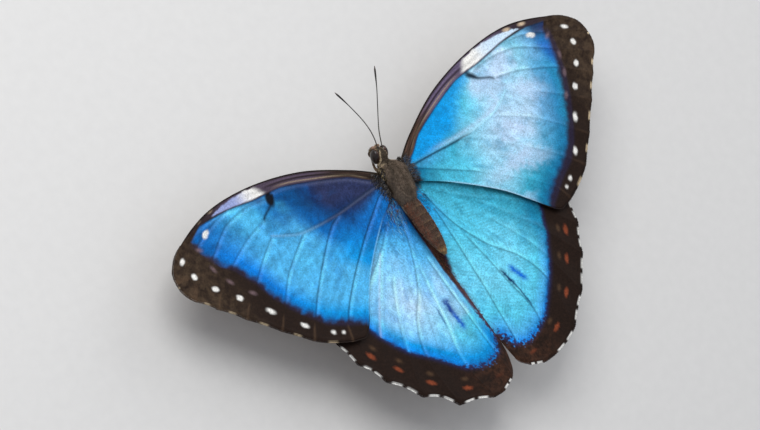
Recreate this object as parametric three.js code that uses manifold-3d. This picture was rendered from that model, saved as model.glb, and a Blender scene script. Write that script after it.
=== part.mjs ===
// Blue morpho butterfly, life size, standing with its wings spread.
//
// Body frame, in millimetres: +X is the butterfly's right, +Y its head, +Z up. The origin lies
// midway between the roots of the forewings. The group at the end is moved as a whole, so that
// its box stands on z = 0 with its centre over the origin.
import * as THREE from 'three';
import { mergeVertices } from 'three/addons/utils/BufferGeometryUtils.js';
import Module from 'manifold-3d';

const wasm = await Module();
wasm.setup();

// ---- Driving dimensions ----------------------------------------------------------------------

const ROOT_HEIGHT = 12; // wing roots above the floor
const FLOOR = -ROOT_HEIGHT;
const GAP = 0.15; // kept round each piece where it meets its neighbour

const WING_THICKNESS = 0.55;
const WING_ROOT_X = 4;
const FORE_ROOT_Y = 0;
const HIND_ROOT_Y = -4;
const FORE_LIFT = 0.45; // the forewing lies over the hindwing
const HIND_DROP = 0.35;

// How each side is held: raised (dihedral), nose-down pitch and sweep, in degrees.
const POSE = {
  right: { side: 1, dihedral: 4.2, pitch: -3.8, foreSweep: 2.1, hindSweep: -0.5 },
  left: { side: -1, dihedral: 2.1, pitch: -4.8, foreSweep: -0.1, hindSweep: -1.5 },
};

// Where the two sides differ in shape: how far the forewing's leading edge bows out, how widely the
// hindwing is spread (across and along), and how deep its first and last scallops are.
const SHAPE = {
  right: { costaBow: 0.7, hindSpread: [0.985, 1], scallops: [0.45, 0.3] },
  left: { costaBow: -0.15, hindSpread: [1.04, 1.006], scallops: [0.4, 1.25] },
};

const THORAX = { centre: [0, -3.3, -0.2], half: [3.05, 4.9, 3.6] };
const HEAD = { centre: [0, 4.1, -0.7], half: [1.7, 1.75, 1.85] };
const NECK = { centre: [0, 2.2, -0.9], half: [1.75, 1.5, 1.9] };
const EYE = { centre: [1.3, 4.2, -0.7], half: [0.95, 1.75, 1.25], tilt: 38 }; // its front end is up
const ABDOMEN = { front: -6.6, tip: -21.8, radius: 2.2, frontZ: 0, tipZ: 1.9 };

// ---- Materials -------------------------------------------------------------------------------

const material = (color, roughness, metalness = 0) =>
  new THREE.MeshStandardMaterial({ color, roughness, metalness });

const looks = {
  fur: () => material('#33291d', 0.9),
  abdomen: () => material('#3d2c1f', 0.85),
  eye: () => material('#1c0f0a', 0.15),
  palp: () => material('#9c8264', 0.85),
  horn: () => material('#17110d', 0.4),
  leg: () => material('#4a3524', 0.6),
  wing: () => material('#1f86d8', 0.4, 0.2),
};

// ---- Helpers ---------------------------------------------------------------------------------

/** 0 at from, 1 at to, and an even S between them, whichever is the larger. */
function smooth(from, to, x) {
  const t = THREE.MathUtils.clamp((x - from) / (to - from), 0, 1);
  return t * t * (3 - 2 * t);
}

/** Move every vertex of a closed geometry by a function of its place. */
function reshape(geometry, place) {
  const at = geometry.attributes.position;
  const p = new THREE.Vector3();
  for (let i = 0; i < at.count; i += 1) {
    place(p.fromBufferAttribute(at, i));
    at.setXYZ(i, p.x, p.y, p.z);
  }
  return weld(geometry);
}

/** Keep only positions and merge the shared vertices, so that the mesh is one closed skin. */
function weld(geometry) {
  geometry.deleteAttribute('normal');
  geometry.deleteAttribute('uv');
  return mergeVertices(geometry, 1e-5);
}

/** The same geometry on the other side of the body, still facing out. */
function mirrored(geometry) {
  const copy = geometry.clone().scale(-1, 1, 1);
  const corners = copy.index.array;
  for (let i = 0; i < corners.length; i += 3) {
    [corners[i], corners[i + 1]] = [corners[i + 1], corners[i]];
  }
  return copy;
}

const onSide = (side, geometry) => (side > 0 ? geometry : mirrored(geometry));

function toManifold(geometry) {
  return new wasm.Manifold(new wasm.Mesh({
    numProp: 3,
    vertProperties: new Float32Array(geometry.attributes.position.array),
    triVerts: new Uint32Array(geometry.index.array),
  }));
}

/** Cut one or more closed geometries out of another. */
function carve(geometry, ...cutters) {
  const solid = cutters.reduce((rest, cutter) => rest.subtract(toManifold(cutter)), toManifold(geometry));
  const mesh = solid.getMesh();
  const cut = new THREE.BufferGeometry();
  cut.setAttribute('position', new THREE.BufferAttribute(mesh.vertProperties, 3));
  cut.setIndex(new THREE.BufferAttribute(mesh.triVerts, 1));
  return cut;
}

/** A closed rounded body, an ellipsoid whose sides are fuller where the power is above 2. */
function ovoid({ centre, half }, { grow = 0, power = 2, around = 18, along = 12 } = {}) {
  const ball = new THREE.SphereGeometry(1, around, along);
  return reshape(ball, (p) => {
    const reach = (Math.abs(p.x) ** power + Math.abs(p.y) ** power + Math.abs(p.z) ** power) ** (1 / power);
    p.divideScalar(reach);
    p.multiply(new THREE.Vector3(half[0] + grow, half[1] + grow, half[2] + grow));
    p.add(new THREE.Vector3(...centre));
  });
}

/** A tapered limb along a smooth route. It stays above the floor, where it is cut flat. */
function limb(points, radiusAt, { sides = 7, steps = 18 } = {}) {
  const route = new THREE.CatmullRomCurve3(points.map((p) => new THREE.Vector3(...p)), false, 'centripetal');
  const frames = route.computeFrenetFrames(steps, false);
  const rod = new THREE.CylinderGeometry(1, 1, 1, sides, steps);
  return reshape(rod, (p) => {
    const step = Math.round((0.5 - p.y) * steps);
    const across = new THREE.Vector3()
      .addScaledVector(frames.normals[step], p.x)
      .addScaledVector(frames.binormals[step], p.z)
      .multiplyScalar(radiusAt(step / steps));
    p.copy(route.getPointAt(step / steps)).add(across);
    p.z = Math.max(p.z, FLOOR);
  });
}

// ---- Wings -----------------------------------------------------------------------------------

// Wing outlines in the wing's own plane: u runs out from the root and v towards the head.
const FORE_COSTA = [[-1.2, 0.3], [5.5, 4.5], [17.3, 9.8], [31, 12.6], [44, 12.5], [55.3, 9], [60.3, 5.3],
  [61.4, 2.4]];
const FORE_TRAIL = [[-0.8, -4.6], [6.5, -8.9], [17.2, -17.2], [25.9, -26.6], [29.6, -27.5], [37.5, -24.3],
  [45, -17.8], [56.2, -6.3], [60.4, -1.7], [61.4, 0.8]];
const HIND_INNER = [[0.1, -0.6], [-0.9, -4], [-2.7, -8.5], [-3.4, -13], [-3.4, -24]];
const HIND_INNER_END = { // behind the abdomen, where the left fold reaches across to the right one
  right: [[-3, -32], [-2.5, -39], [-2, -43.6], [-1.3, -46.3], [0.6, -48.1]],
  left: [[-3.4, -32], [-3.6, -38], [-3.2, -42.8], [-1.7, -46.2], [0.6, -48.1]],
};
const HIND_OUTER = [[1.2, 0.2], [8, -1.4], [20, -4], [29.5, -10.7], [32.8, -17], [32.9, -23.8], [30.4, -29.9],
  [25.9, -37], [21, -42], [15.2, -46.8], [10.3, -48.8], [4.2, -49.3]];

const FORE_CURL = { trailing: 0.5, costa: 0.8 }; // the trailing edge lifts and the costa droops
const ANAL_FOLD = { from: 0.6, to: -3.9, depth: 2.25, loss: 1.1 }; // cradles the abdomen

// The ends of the hindwing's veins, between which its outer edge is drawn in.
const HIND_VEIN_ENDS = [[29.5, -10.7], [33.3, -20.8], [31.7, -27], [27.9, -32.9], [22.3, -39.7], [15.9, -46],
  [7.1, -49.2]];

const planar = (points) => new THREE.SplineCurve(points.map(([u, v]) => new THREE.Vector2(u, v)));

/** Height of the forewing's middle layer, from root (t = 0) to tip and trailing edge to costa. */
function foreHeight(t, s) {
  const middle = Math.sin(Math.PI * t);
  const lifted = FORE_CURL.trailing * (1 - s) ** 2 * middle;
  const drooped = FORE_CURL.costa * s ** 3 * middle;
  return FORE_LIFT + lifted - drooped;
}

/** Height of the hindwing's middle layer: low under the forewing, folded down by the abdomen. */
function hindHeight(u, v) {
  const drop = HIND_DROP * (1 - smooth(-14, -30, v));
  const deep = ANAL_FOLD.depth * smooth(1, -6, v);
  const shallower = ANAL_FOLD.loss * smooth(-20, -44, v);
  return -drop - (deep - shallower) * smooth(ANAL_FOLD.from, ANAL_FOLD.to, u);
}

/** A thin plate between two edges that run side by side from the root to the end of the wing. */
function wingPlate({ first, second, height, spread, rows, columns }) {
  const slab = new THREE.BoxGeometry(1, 1, 1, columns, rows, 1);
  return reshape(slab, (p) => {
    const t = 0.5 - p.y;
    const s = spread(0.5 + p.x);
    const at = first(t).lerp(second(t), s);
    p.set(at.x, at.y, height(t, s, at) + p.z * WING_THICKNESS);
  });
}

/** How far along a curve the nearest place to a point is, from 0 to 1. */
function placeAlong(curve, [u, v]) {
  const steps = 400;
  const target = new THREE.Vector2(u, v);
  const away = (step) => curve.getPointAt(step / steps).distanceTo(target);
  let nearest = 0;
  for (let step = 1; step <= steps; step += 1) {
    if (away(step) < away(nearest)) nearest = step;
  }
  return nearest / steps;
}

/** The hindwing's outer edge, with a hollow between the ends of each two veins. */
function hindOuterEdge([first, last]) {
  const curve = planar(HIND_OUTER);
  const ends = HIND_VEIN_ENDS.map((end) => placeAlong(curve, end));
  return (t) => {
    const point = curve.getPointAt(t);
    const next = ends.findIndex((end) => end > t);
    if (next < 1) return point;
    const x = (t - ends[next - 1]) / (ends[next] - ends[next - 1]);
    const depth = THREE.MathUtils.mapLinear(next, 1, ends.length - 1, first, last);
    const tangent = curve.getTangentAt(t);
    const inward = new THREE.Vector2(tangent.y, -tangent.x).multiplyScalar(depth * Math.sin(Math.PI * x));
    return point.add(inward);
  };
}

/** The forewing's leading edge, bowed out towards the tip. */
const bowed = (costaBow) => FORE_COSTA.map(([u, v]) => [u, v + costaBow * smooth(20, 45, u)]);

const edge = (points) => {
  const curve = planar(points);
  return (t) => curve.getPointAt(t);
};

const foreGeometry = (sideName) => wingPlate({
  first: edge(FORE_TRAIL),
  second: edge(bowed(SHAPE[sideName].costaBow)),
  height: foreHeight,
  spread: (s) => s,
  rows: 24,
  columns: 8,
});

const hindGeometry = (sideName) => wingPlate({
  first: edge([...HIND_INNER, ...HIND_INNER_END[sideName]]),
  second: hindOuterEdge(SHAPE[sideName].scallops),
  height: (t, s, at) => hindHeight(at.x, at.y),
  spread: (s) => s ** 2,
  rows: 40,
  columns: 6,
}).scale(...SHAPE[sideName].hindSpread, 1);

/** Turn a wing from its own plane into the body frame, on the side that it belongs to. */
function placed(geometry, { side, dihedral, pitch }, sweep, rootY) {
  const turn = new THREE.Matrix4().makeRotationY(THREE.MathUtils.degToRad(-dihedral));
  turn.multiply(new THREE.Matrix4().makeRotationZ(THREE.MathUtils.degToRad(sweep)));
  turn.multiply(new THREE.Matrix4().makeRotationX(THREE.MathUtils.degToRad(pitch)));
  return onSide(side, geometry.applyMatrix4(turn).translate(WING_ROOT_X, rootY, 0));
}

// ---- Body ------------------------------------------------------------------------------------

const THORAX_POWER = 2.3;

const thoraxGeometry = (grow = 0) => ovoid(THORAX, { grow, power: THORAX_POWER });
const headGeometry = (grow = 0) => ovoid(HEAD, { grow, around: 18, along: 12 });

/** The right eye: an ovoid whose long axis is tilted about its centre. */
function eyeGeometry(grow = 0) {
  const ball = ovoid({ centre: [0, 0, 0], half: EYE.half }, { grow, around: 16, along: 10 });
  return ball.rotateX(THREE.MathUtils.degToRad(EYE.tilt)).translate(...EYE.centre);
}

/** The abdomen: seven rings, blunt in front and tapered behind, bent up to the tip. */
function abdomenGeometry(grow = 0) {
  const { front, tip, radius, frontZ, tipZ } = ABDOMEN;
  const rings = 7;
  const steps = 3 * rings;
  const profile = [];
  for (let i = 0; i <= steps; i += 1) {
    const t = i / steps;
    const spindle = Math.sqrt((1 - (1 - t) ** 3) * (1 - t ** 12));
    const ring = 1 - 0.035 * Math.cos(2 * Math.PI * rings * t) ** 2;
    const inner = i > 0 && i < steps;
    const reach = inner ? radius * spindle * ring + grow : 0;
    profile.push(new THREE.Vector2(reach, THREE.MathUtils.lerp(tip - grow, front, t)));
  }
  return reshape(new THREE.LatheGeometry(profile, 16), (p) => {
    p.z += THREE.MathUtils.lerp(tipZ, frontZ, (p.y - tip) / (front - tip));
  });
}

/** The coiled tongue: a flat ring under the head, its axis across the body. */
function proboscisGeometry() {
  const coil = { centre: [0, 5.1, -3.45], radius: 0.75, hole: 0.15, half: 0.25 };
  const section = [
    new THREE.Vector2(coil.hole, -coil.half),
    new THREE.Vector2(coil.radius - 0.15, -coil.half),
    new THREE.Vector2(coil.radius, 0),
    new THREE.Vector2(coil.radius - 0.15, coil.half),
    new THREE.Vector2(coil.hole, coil.half),
    new THREE.Vector2(coil.hole, -coil.half),
  ];
  const ring = new THREE.LatheGeometry(section, 14).rotateZ(Math.PI / 2).translate(...coil.centre);
  return weld(ring);
}

// ---- Limbs, on the right side ----------------------------------------------------------------

const TARSUS_Z = FLOOR + 0.2; // the foot's middle line, so that the floor cuts its underside flat

const ROUTES = {
  foreleg: [[0.9, 0.9, -2.6], [0.85, 2, -3.35], [0.75, 3.6, -3.1]],
  midleg: [[1.3, -1.6, -2.6], [1.9, -1.4, -5], [7.6, -0.4, -4.6], [9.3, -0.4, -11.2], [9.5, 0.2, TARSUS_Z],
    [10.6, 4.6, TARSUS_Z]],
  hindleg: [[1.3, -5.2, -2.6], [1.9, -5.8, -4.9], [6.6, -11.5, -4.6], [8.6, -18.5, -11.2],
    [8.8, -19.3, TARSUS_Z], [9.6, -25.6, TARSUS_Z]],
  palp: [[0.8, 4.4, -2.2], [0.85, 5.7, -2.3], [0.7, 6.3, -1.1], [0.6, 6.1, 0.1]],
};

// The two feelers part differently: the left one bends out, and the right one is nearly straight.
const ANTENNAE = {
  right: [[0.6, 4.7, 0.5], [1.5, 8.8, 1.7], [3.4, 13.3, 3], [5, 17, 4.1], [6.6, 21.4, 5.3]],
  left: [[0.6, 4.7, 0.5], [0.7, 8.2, 1.7], [1.6, 11.7, 2.7], [3.9, 16.4, 4], [6.5, 20.6, 5.3]],
};

/** Thick at the hip, thinner along the shin, and an even foot. */
const legRadius = (t) => 0.3 + 0.26 * (1 - smooth(0, 0.75, t));
const forelegRadius = (t) => 0.42 - 0.14 * t;
const palpRadius = (t) => 0.4 - 0.14 * smooth(0.6, 1, t);
const antennaRadius = (t) => 0.25 + 0.1 * smooth(0.75, 0.93, t) - 0.08 * smooth(0.95, 1, t);

// ---- Assembly --------------------------------------------------------------------------------

const insect = new THREE.Group();

function addNode(name, geometry, look) {
  const mesh = new THREE.Mesh(geometry, look);
  mesh.name = name;
  insect.add(mesh);
}

const thoraxRoom = thoraxGeometry(GAP);
const abdomenRoom = abdomenGeometry(GAP);
const headRoom = headGeometry(GAP);
const eyeRoom = eyeGeometry(GAP);
const neckRoom = ovoid(NECK, { grow: GAP });

addNode('head', carve(headGeometry(), eyeRoom, mirrored(eyeRoom)), looks.fur());
addNode('neck', carve(ovoid(NECK), thoraxRoom, headRoom, eyeRoom, mirrored(eyeRoom)), looks.fur());
addNode('thorax', thoraxGeometry(), looks.fur());
addNode('abdomen', carve(abdomenGeometry(), thoraxRoom), looks.abdomen());
addNode('proboscis', proboscisGeometry(), looks.horn());

for (const [sideName, pose] of Object.entries(POSE)) {
  const add = (part, geometry, look) => addNode(`${part}_${sideName}`, geometry, look);
  const own = (geometry) => onSide(pose.side, geometry);
  const fore = placed(foreGeometry(sideName), pose, pose.foreSweep, FORE_ROOT_Y);
  const hind = placed(hindGeometry(sideName), pose, pose.hindSweep, HIND_ROOT_Y);
  const foreleg = limb(ROUTES.foreleg, forelegRadius, { steps: 9 });
  const palp = limb(ROUTES.palp, palpRadius, { steps: 10 });
  const antenna = limb(ANTENNAE[sideName], antennaRadius, { sides: 6 });
  add('eye', own(eyeGeometry()), looks.eye());
  add('palp', own(carve(palp, headRoom, eyeRoom)), looks.palp());
  add('antenna', own(carve(antenna, headRoom, eyeRoom)), looks.horn());
  add('foreleg', own(carve(foreleg, thoraxRoom, headRoom, eyeRoom, neckRoom)), looks.leg());
  add('midleg', own(carve(limb(ROUTES.midleg, legRadius), thoraxRoom)), looks.leg());
  add('hindleg', own(carve(limb(ROUTES.hindleg, legRadius), thoraxRoom)), looks.leg());
  add('forewing', carve(fore, thoraxRoom), looks.wing());
  add('hindwing', carve(hind, thoraxRoom, abdomenRoom), looks.wing());
}

const box = new THREE.Box3().setFromObject(insect);
const middle = box.getCenter(new THREE.Vector3());
insect.position.set(-middle.x, -middle.y, -box.min.z);

export default insect;
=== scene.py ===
"""Blue morpho butterfly: the looks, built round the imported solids.

Shapes are worked out in the butterfly's own frame, in millimetres: +X is its right, +Y its head,
+Z up, and the origin lies midway between the roots of its forewings. Vertices are turned into
metres in the row's frame as each mesh is made.
"""
import math

import bpy
import numpy as np
from mathutils import Matrix, Vector


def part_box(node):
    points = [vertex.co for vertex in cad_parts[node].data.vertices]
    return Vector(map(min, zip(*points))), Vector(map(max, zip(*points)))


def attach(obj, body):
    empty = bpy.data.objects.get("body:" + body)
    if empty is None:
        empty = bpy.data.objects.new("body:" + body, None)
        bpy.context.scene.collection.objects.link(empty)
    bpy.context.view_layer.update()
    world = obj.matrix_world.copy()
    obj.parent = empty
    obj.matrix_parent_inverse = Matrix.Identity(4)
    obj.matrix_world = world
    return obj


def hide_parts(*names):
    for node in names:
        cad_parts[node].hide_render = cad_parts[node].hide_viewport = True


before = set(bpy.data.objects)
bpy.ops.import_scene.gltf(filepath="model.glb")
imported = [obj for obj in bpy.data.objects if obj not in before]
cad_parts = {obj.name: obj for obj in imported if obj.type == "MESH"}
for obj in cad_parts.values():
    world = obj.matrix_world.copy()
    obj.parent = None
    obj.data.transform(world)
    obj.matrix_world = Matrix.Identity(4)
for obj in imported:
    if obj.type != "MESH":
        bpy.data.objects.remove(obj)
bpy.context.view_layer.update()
MM = 0.001

# ---- Where the insect's own frame lies in the row's frame -------------------------------------

EYE_CENTRE = (1.3, 4.2, -0.7)
EYE_HALF = (0.95, 1.75, 1.25)
EYE_TURN = np.array(Matrix.Rotation(math.radians(38), 3, "X"))  # raises the front of the eye's long axis


def body_origin():
    """The middle of the two eyes, moved back to the point between the wing roots."""
    low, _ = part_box("eye_left")
    _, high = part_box("eye_right")
    middle = (np.array(low) + np.array(high)) / 2
    return middle - np.array((0, EYE_CENTRE[1], EYE_CENTRE[2])) * MM


ORIGIN = body_origin()
FLOOR_Z = -ORIGIN[2] / MM  # the floor, in the insect's frame


# ---- Small helpers ----------------------------------------------------------------------------

def smooth(start, end, x):
    """0 at start, 1 at end, and an even S between them, whichever is the larger."""
    t = np.clip((np.asarray(x, float) - start) / (end - start), 0, 1)
    return t * t * (3 - 2 * t)


def mix(a, b, amount):
    """Blend two colours or fields; amount may be a field over points."""
    amount = np.asarray(amount)[..., None]
    return np.asarray(a) * (1 - amount) + np.asarray(b) * amount


def layered(paint, *layers):
    """Lay colours over a paint one after another, each as strongly as its amount says."""
    for colour, amount in layers:
        paint = mix(paint, colour, amount)
    return paint


def bell(x, width, middle=0.0):
    """1 at the middle, falling evenly to 0 on both sides of it."""
    return np.exp(-((x - middle) / width) ** 2)


def unit(vectors):
    """The vectors at length 1."""
    return vectors / (np.linalg.norm(vectors, axis=-1, keepdims=True) + 1e-12)


def mirrored(points, side):
    """Points of the right side, or of the left one where side is -1."""
    return np.asarray(points, float) * (side, 1, 1)


def linear(red, green, blue):
    """An sRGB colour, 0 to 255, as linear light."""
    c = np.array((red, green, blue)) / 255
    return np.where(c <= 0.04045, c / 12.92, ((c + 0.055) / 1.055) ** 2.4)


def hashed(*cells):
    """A fixed pseudo-random number from 0 to 1 for each cell of a lattice."""
    total = np.zeros_like(np.asarray(cells[0], float))
    for cell, weight in zip(cells, (127.1, 311.7, 74.7)):
        total = total + np.asarray(cell) * weight
    value = np.sin(total) * 43758.5453
    return value - np.floor(value)


def noise(x, y, seed=0):
    """Smooth value noise over a plane, from -1 to 1, with cells of size 1."""
    column, row = np.floor(x), np.floor(y)
    fx, fy = smooth(0, 1, x - column), smooth(0, 1, y - row)
    corner = [hashed(column + i, row + j, np.full_like(column, seed)) for i in (0, 1) for j in (0, 1)]
    left = corner[0] * (1 - fy) + corner[1] * fy
    right = corner[2] * (1 - fy) + corner[3] * fy
    return 2 * (left * (1 - fx) + right * fx) - 1


def layered_noise(x, y, seed=0, layers=3):
    """Value noise with finer layers, each half as strong as the last."""
    total = sum(noise(x * 2 ** i, y * 2 ** i, seed + i) / 2 ** i for i in range(layers))
    return total / 1.6


def spline(points, steps):
    """Points at even lengths along a smooth curve through the given ones, ends included."""
    knots = np.array(points, float)
    padded = np.vstack((knots[:1], knots, knots[-1:]))
    t = np.linspace(0, 1, 24, endpoint=False)[:, None]
    parts = []
    for p0, p1, p2, p3 in zip(padded, padded[1:], padded[2:], padded[3:]):
        m1, m2 = (p2 - p0) / 2, (p3 - p1) / 2
        parts.append((2 * t ** 3 - 3 * t ** 2 + 1) * p1 + (t ** 3 - 2 * t ** 2 + t) * m1
                     + (3 * t ** 2 - 2 * t ** 3) * p2 + (t ** 3 - t ** 2) * m2)
    dense = np.vstack(parts + [knots[-1:]])
    along = np.concatenate(([0], np.cumsum(np.linalg.norm(np.diff(dense, axis=0), axis=1))))
    even = np.linspace(0, along[-1], steps)
    return np.stack([np.interp(even, along, dense[:, i]) for i in range(dense.shape[1])], 1)


def distance_to(u, v, line):
    """Distance from a line of points, above 0 on its left, and how far along the line, 0 to 1."""
    best = np.full(u.shape, 1e9)
    place = np.zeros(u.shape)
    for i, (a, b) in enumerate(zip(line[:-1], line[1:])):
        d = b - a
        t = np.clip(((u - a[0]) * d[0] + (v - a[1]) * d[1]) / (d @ d + 1e-12), 0, 1)
        x, y = u - a[0] - t * d[0], v - a[1] - t * d[1]
        far = np.where(d[0] * y - d[1] * x >= 0, 1, -1) * np.hypot(x, y)
        closer = np.abs(far) < np.abs(best)
        best = np.where(closer, far, best)
        place = np.where(closer, (i + t) / (len(line) - 1), place)
    return best, place


def depth_inside(u, v, outline):
    """Distance from a closed outline, in millimetres, above 0 inside it."""
    closed = np.array(list(outline) + [outline[0]], float)
    odd = np.zeros(u.shape, bool)
    for (u0, v0), (u1, v1) in zip(closed[:-1], closed[1:]):
        crossing = u0 + (v - v0) * (u1 - u0) / (v1 - v0 + 1e-12)
        odd ^= ((v0 > v) != (v1 > v)) & (u < crossing)
    away = np.abs(distance_to(u, v, closed)[0])
    return np.where(odd, away, -away)


def spot(u, v, centre, half, angle=0, edge=0.25):
    """1 inside an ellipse, fading to 0 over its edge, in millimetres."""
    turn = math.radians(angle)
    x = (u - centre[0]) * math.cos(turn) + (v - centre[1]) * math.sin(turn)
    y = -(u - centre[0]) * math.sin(turn) + (v - centre[1]) * math.cos(turn)
    reach = np.sqrt((x / half[0]) ** 2 + (y / half[1]) ** 2)
    return 1 - smooth(1 - edge / min(half), 1 + edge / min(half), reach)


def new_mesh(name, points, faces, colours=None, uv=None):
    """A mesh object from points in the insect's frame, with a colour per point and a map per corner."""
    mesh = bpy.data.meshes.new(name)
    at = np.asarray(points, float) * MM + ORIGIN
    faces = np.asarray(faces)
    corners = faces.shape[1]
    mesh.vertices.add(len(at))
    mesh.vertices.foreach_set("co", at.ravel())
    mesh.loops.add(faces.size)
    mesh.loops.foreach_set("vertex_index", faces.ravel())
    mesh.polygons.add(len(faces))
    mesh.polygons.foreach_set("loop_start", np.arange(0, faces.size, corners))
    mesh.polygons.foreach_set("use_smooth", np.full(len(faces), True))
    if colours is not None:
        layer = mesh.color_attributes.new("paint", "FLOAT_COLOR", "POINT")
        rgba = np.hstack((np.clip(colours, 0, 1), np.ones((len(at), 1))))
        layer.data.foreach_set("color", rgba.ravel())
    if uv is not None:
        layer = mesh.uv_layers.new(name="OFBake")
        layer.uv.foreach_set("vector", np.asarray(uv).ravel())
    mesh.update(calc_edges=True)
    mesh.validate()
    piece = bpy.data.objects.new(name, mesh)
    bpy.context.scene.collection.objects.link(piece)
    return piece


def dress(piece, slot, material, *nodes):
    """Give a piece its material, its body and the solids that it stands for; slot is not used."""
    piece.data.materials.append(material)
    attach(piece, "root")
    if nodes:
        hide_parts(*nodes)
    return piece


# ---- Materials --------------------------------------------------------------------------------

class Look:
    """A node material on one Principled shader, built up node by node."""

    def __init__(self, name, roughness, metallic=0.0, specular=0.5):
        self.material = bpy.data.materials.new(name)
        self.material.use_nodes = True
        self.tree = self.material.node_tree
        self.shader = self.tree.nodes["Principled BSDF"]
        self.shader.inputs["Roughness"].default_value = roughness
        self.shader.inputs["Metallic"].default_value = metallic
        self.shader.inputs["Specular IOR Level"].default_value = specular

    def node(self, kind, **values):
        """A new node with some of its properties set."""
        made = self.tree.nodes.new(kind)
        for key, value in values.items():
            setattr(made, key, value)
        return made

    def link(self, output, target):
        """Join an output to an input."""
        self.tree.links.new(output, target)

    def noise(self, scale, detail=2.0, stretch=None):
        """Noise in object space, whose scale is in cells per millimetre."""
        texture = self.node("ShaderNodeTexNoise")
        texture.inputs["Scale"].default_value = scale / MM
        texture.inputs["Detail"].default_value = detail
        coordinates = self.node("ShaderNodeTexCoord").outputs["Object"]
        if stretch is not None:
            mapping = self.node("ShaderNodeMapping")
            mapping.inputs["Scale"].default_value = stretch
            self.link(coordinates, mapping.inputs["Vector"])
            coordinates = mapping.outputs["Vector"]
        self.link(coordinates, texture.inputs["Vector"])
        return texture.outputs["Fac"]

    def cells(self, scale):
        """The distance to the nearest cell middle, with cells per millimetre."""
        texture = self.node("ShaderNodeTexVoronoi")
        texture.inputs["Scale"].default_value = scale / MM
        self.link(self.node("ShaderNodeTexCoord").outputs["Object"], texture.inputs["Vector"])
        return texture.outputs["Distance"]

    def spread(self, field, low, high):
        """Noise, most of which lies between 0.3 and 0.7, brought into another range."""
        ranged = self.node("ShaderNodeMapRange")
        limits = {"From Min": 0.3, "From Max": 0.7, "To Min": low, "To Max": high}
        for key, number in limits.items():
            ranged.inputs[key].default_value = number
        self.link(field, ranged.inputs["Value"])
        return ranged.outputs["Result"]

    def coloured(self, field, darkest, lightest, colour=None):
        """Use a colour, the painted one if none is named, made darker and lighter by a field."""
        if colour is None:
            colour = self.node("ShaderNodeAttribute", attribute_name="paint").outputs["Color"]
        product = self.node("ShaderNodeVectorMath", operation="SCALE")
        self.link(colour, product.inputs["Vector"])
        self.link(self.spread(field, darkest, lightest), product.inputs["Scale"])
        self.link(product.outputs["Vector"], self.shader.inputs["Base Color"])

    def bump(self, height, depth):
        """Bump from a height field of 0 to 1, as deep as depth in millimetres."""
        bump = self.node("ShaderNodeBump")
        bump.inputs["Strength"].default_value = 1.0
        bump.inputs["Distance"].default_value = depth * MM
        self.link(height, bump.inputs["Height"])
        self.link(bump.outputs["Normal"], self.shader.inputs["Normal"])


def wing_look(name):
    """Satin scales: the painted colour, broken up by fine grain, with a fine bump."""
    look = Look(name, roughness=0.5, metallic=0.2, specular=0.1)
    grain = look.noise(3.2, detail=3.0)
    look.coloured(grain, 0.75, 1.25)
    look.link(look.spread(grain, 0.44, 0.56), look.shader.inputs["Roughness"])
    look.bump(look.cells(5.0), 0.02)
    return look.material


def hair_look(name):
    """Dull hair."""
    look = Look(name, roughness=0.75, specular=0.25)
    look.coloured(look.noise(2.0), 0.75, 1.3)
    return look.material


def skin_look(name):
    """Dull skin with fibres that run along the body."""
    look = Look(name, roughness=0.85, specular=0.2)
    fibres = look.noise(5.0, detail=4.0, stretch=(1.0, 0.3, 1.0))
    look.coloured(fibres, 0.6, 1.4)
    look.bump(fibres, 0.08)
    return look.material


def eye_look(name):
    """Wet dark facets."""
    look = Look(name, roughness=0.3, specular=0.35)
    look.coloured(look.noise(0.8), 0.7, 1.4)
    look.bump(look.cells(14.0), 0.006)
    look.shader.inputs["Coat Weight"].default_value = 0.25
    look.shader.inputs["Coat Roughness"].default_value = 0.08
    return look.material


def horn_look(name, roughness=0.45):
    """Satin cuticle with a fine grain."""
    look = Look(name, roughness=roughness, specular=0.45)
    grain = look.noise(6.0, detail=2.0)
    look.coloured(grain, 0.75, 1.25)
    look.bump(grain, 0.02)
    return look.material


def floor_look(name):
    """A plain pale floor."""
    look = Look(name, roughness=0.8, specular=0.2)
    fine = look.noise(0.4, detail=3.0)
    base = look.node("ShaderNodeRGB")
    base.outputs[0].default_value = (0.72, 0.71, 0.69, 1)
    look.coloured(fine, 0.985, 1.015, base.outputs[0])
    return look.material


WING = wing_look("wing_scales")
SKIN = skin_look("body_skin")
HAIR = hair_look("body_hair")
EYE = eye_look("compound_eye")
HORN = horn_look("dark_cuticle")
LEG = horn_look("leg_scales", roughness=0.6)


# ---- Wings: outlines and heights --------------------------------------------------------------

# How the wings are held, their heights and the forewings' outlines are as in the solids.
WING_ROOT_X = 4.0
FORE_ROOT_Y = 0.0
HIND_ROOT_Y = -4.0
FORE_LIFT = 0.45  # how far the forewing's plate lies above its root's plane, in millimetres
HIND_DROP = 0.35  # and how far the hindwing's lies below its own, where the forewing covers it
WING_THICKNESS = 0.26

# How each side is held: raised (dihedral), nose-down pitch and sweep, in degrees.
POSE = {
    "right": dict(side=1, dihedral=4.2, pitch=-3.8, fore_sweep=2.1, hind_sweep=-0.5),
    "left": dict(side=-1, dihedral=2.1, pitch=-4.8, fore_sweep=-0.1, hind_sweep=-1.5),
}

# Where the two sides differ in shape: how far the forewing's leading edge bows out, how widely the
# hindwing is spread (across and along), and how deep its first and last scallops are.
SHAPE = {
    "right": dict(costa_bow=0.7, hind_spread=(0.985, 1), scallops=(0.45, 0.3)),
    "left": dict(costa_bow=-0.15, hind_spread=(1.04, 1.006), scallops=(0.4, 1.25)),
}

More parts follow.
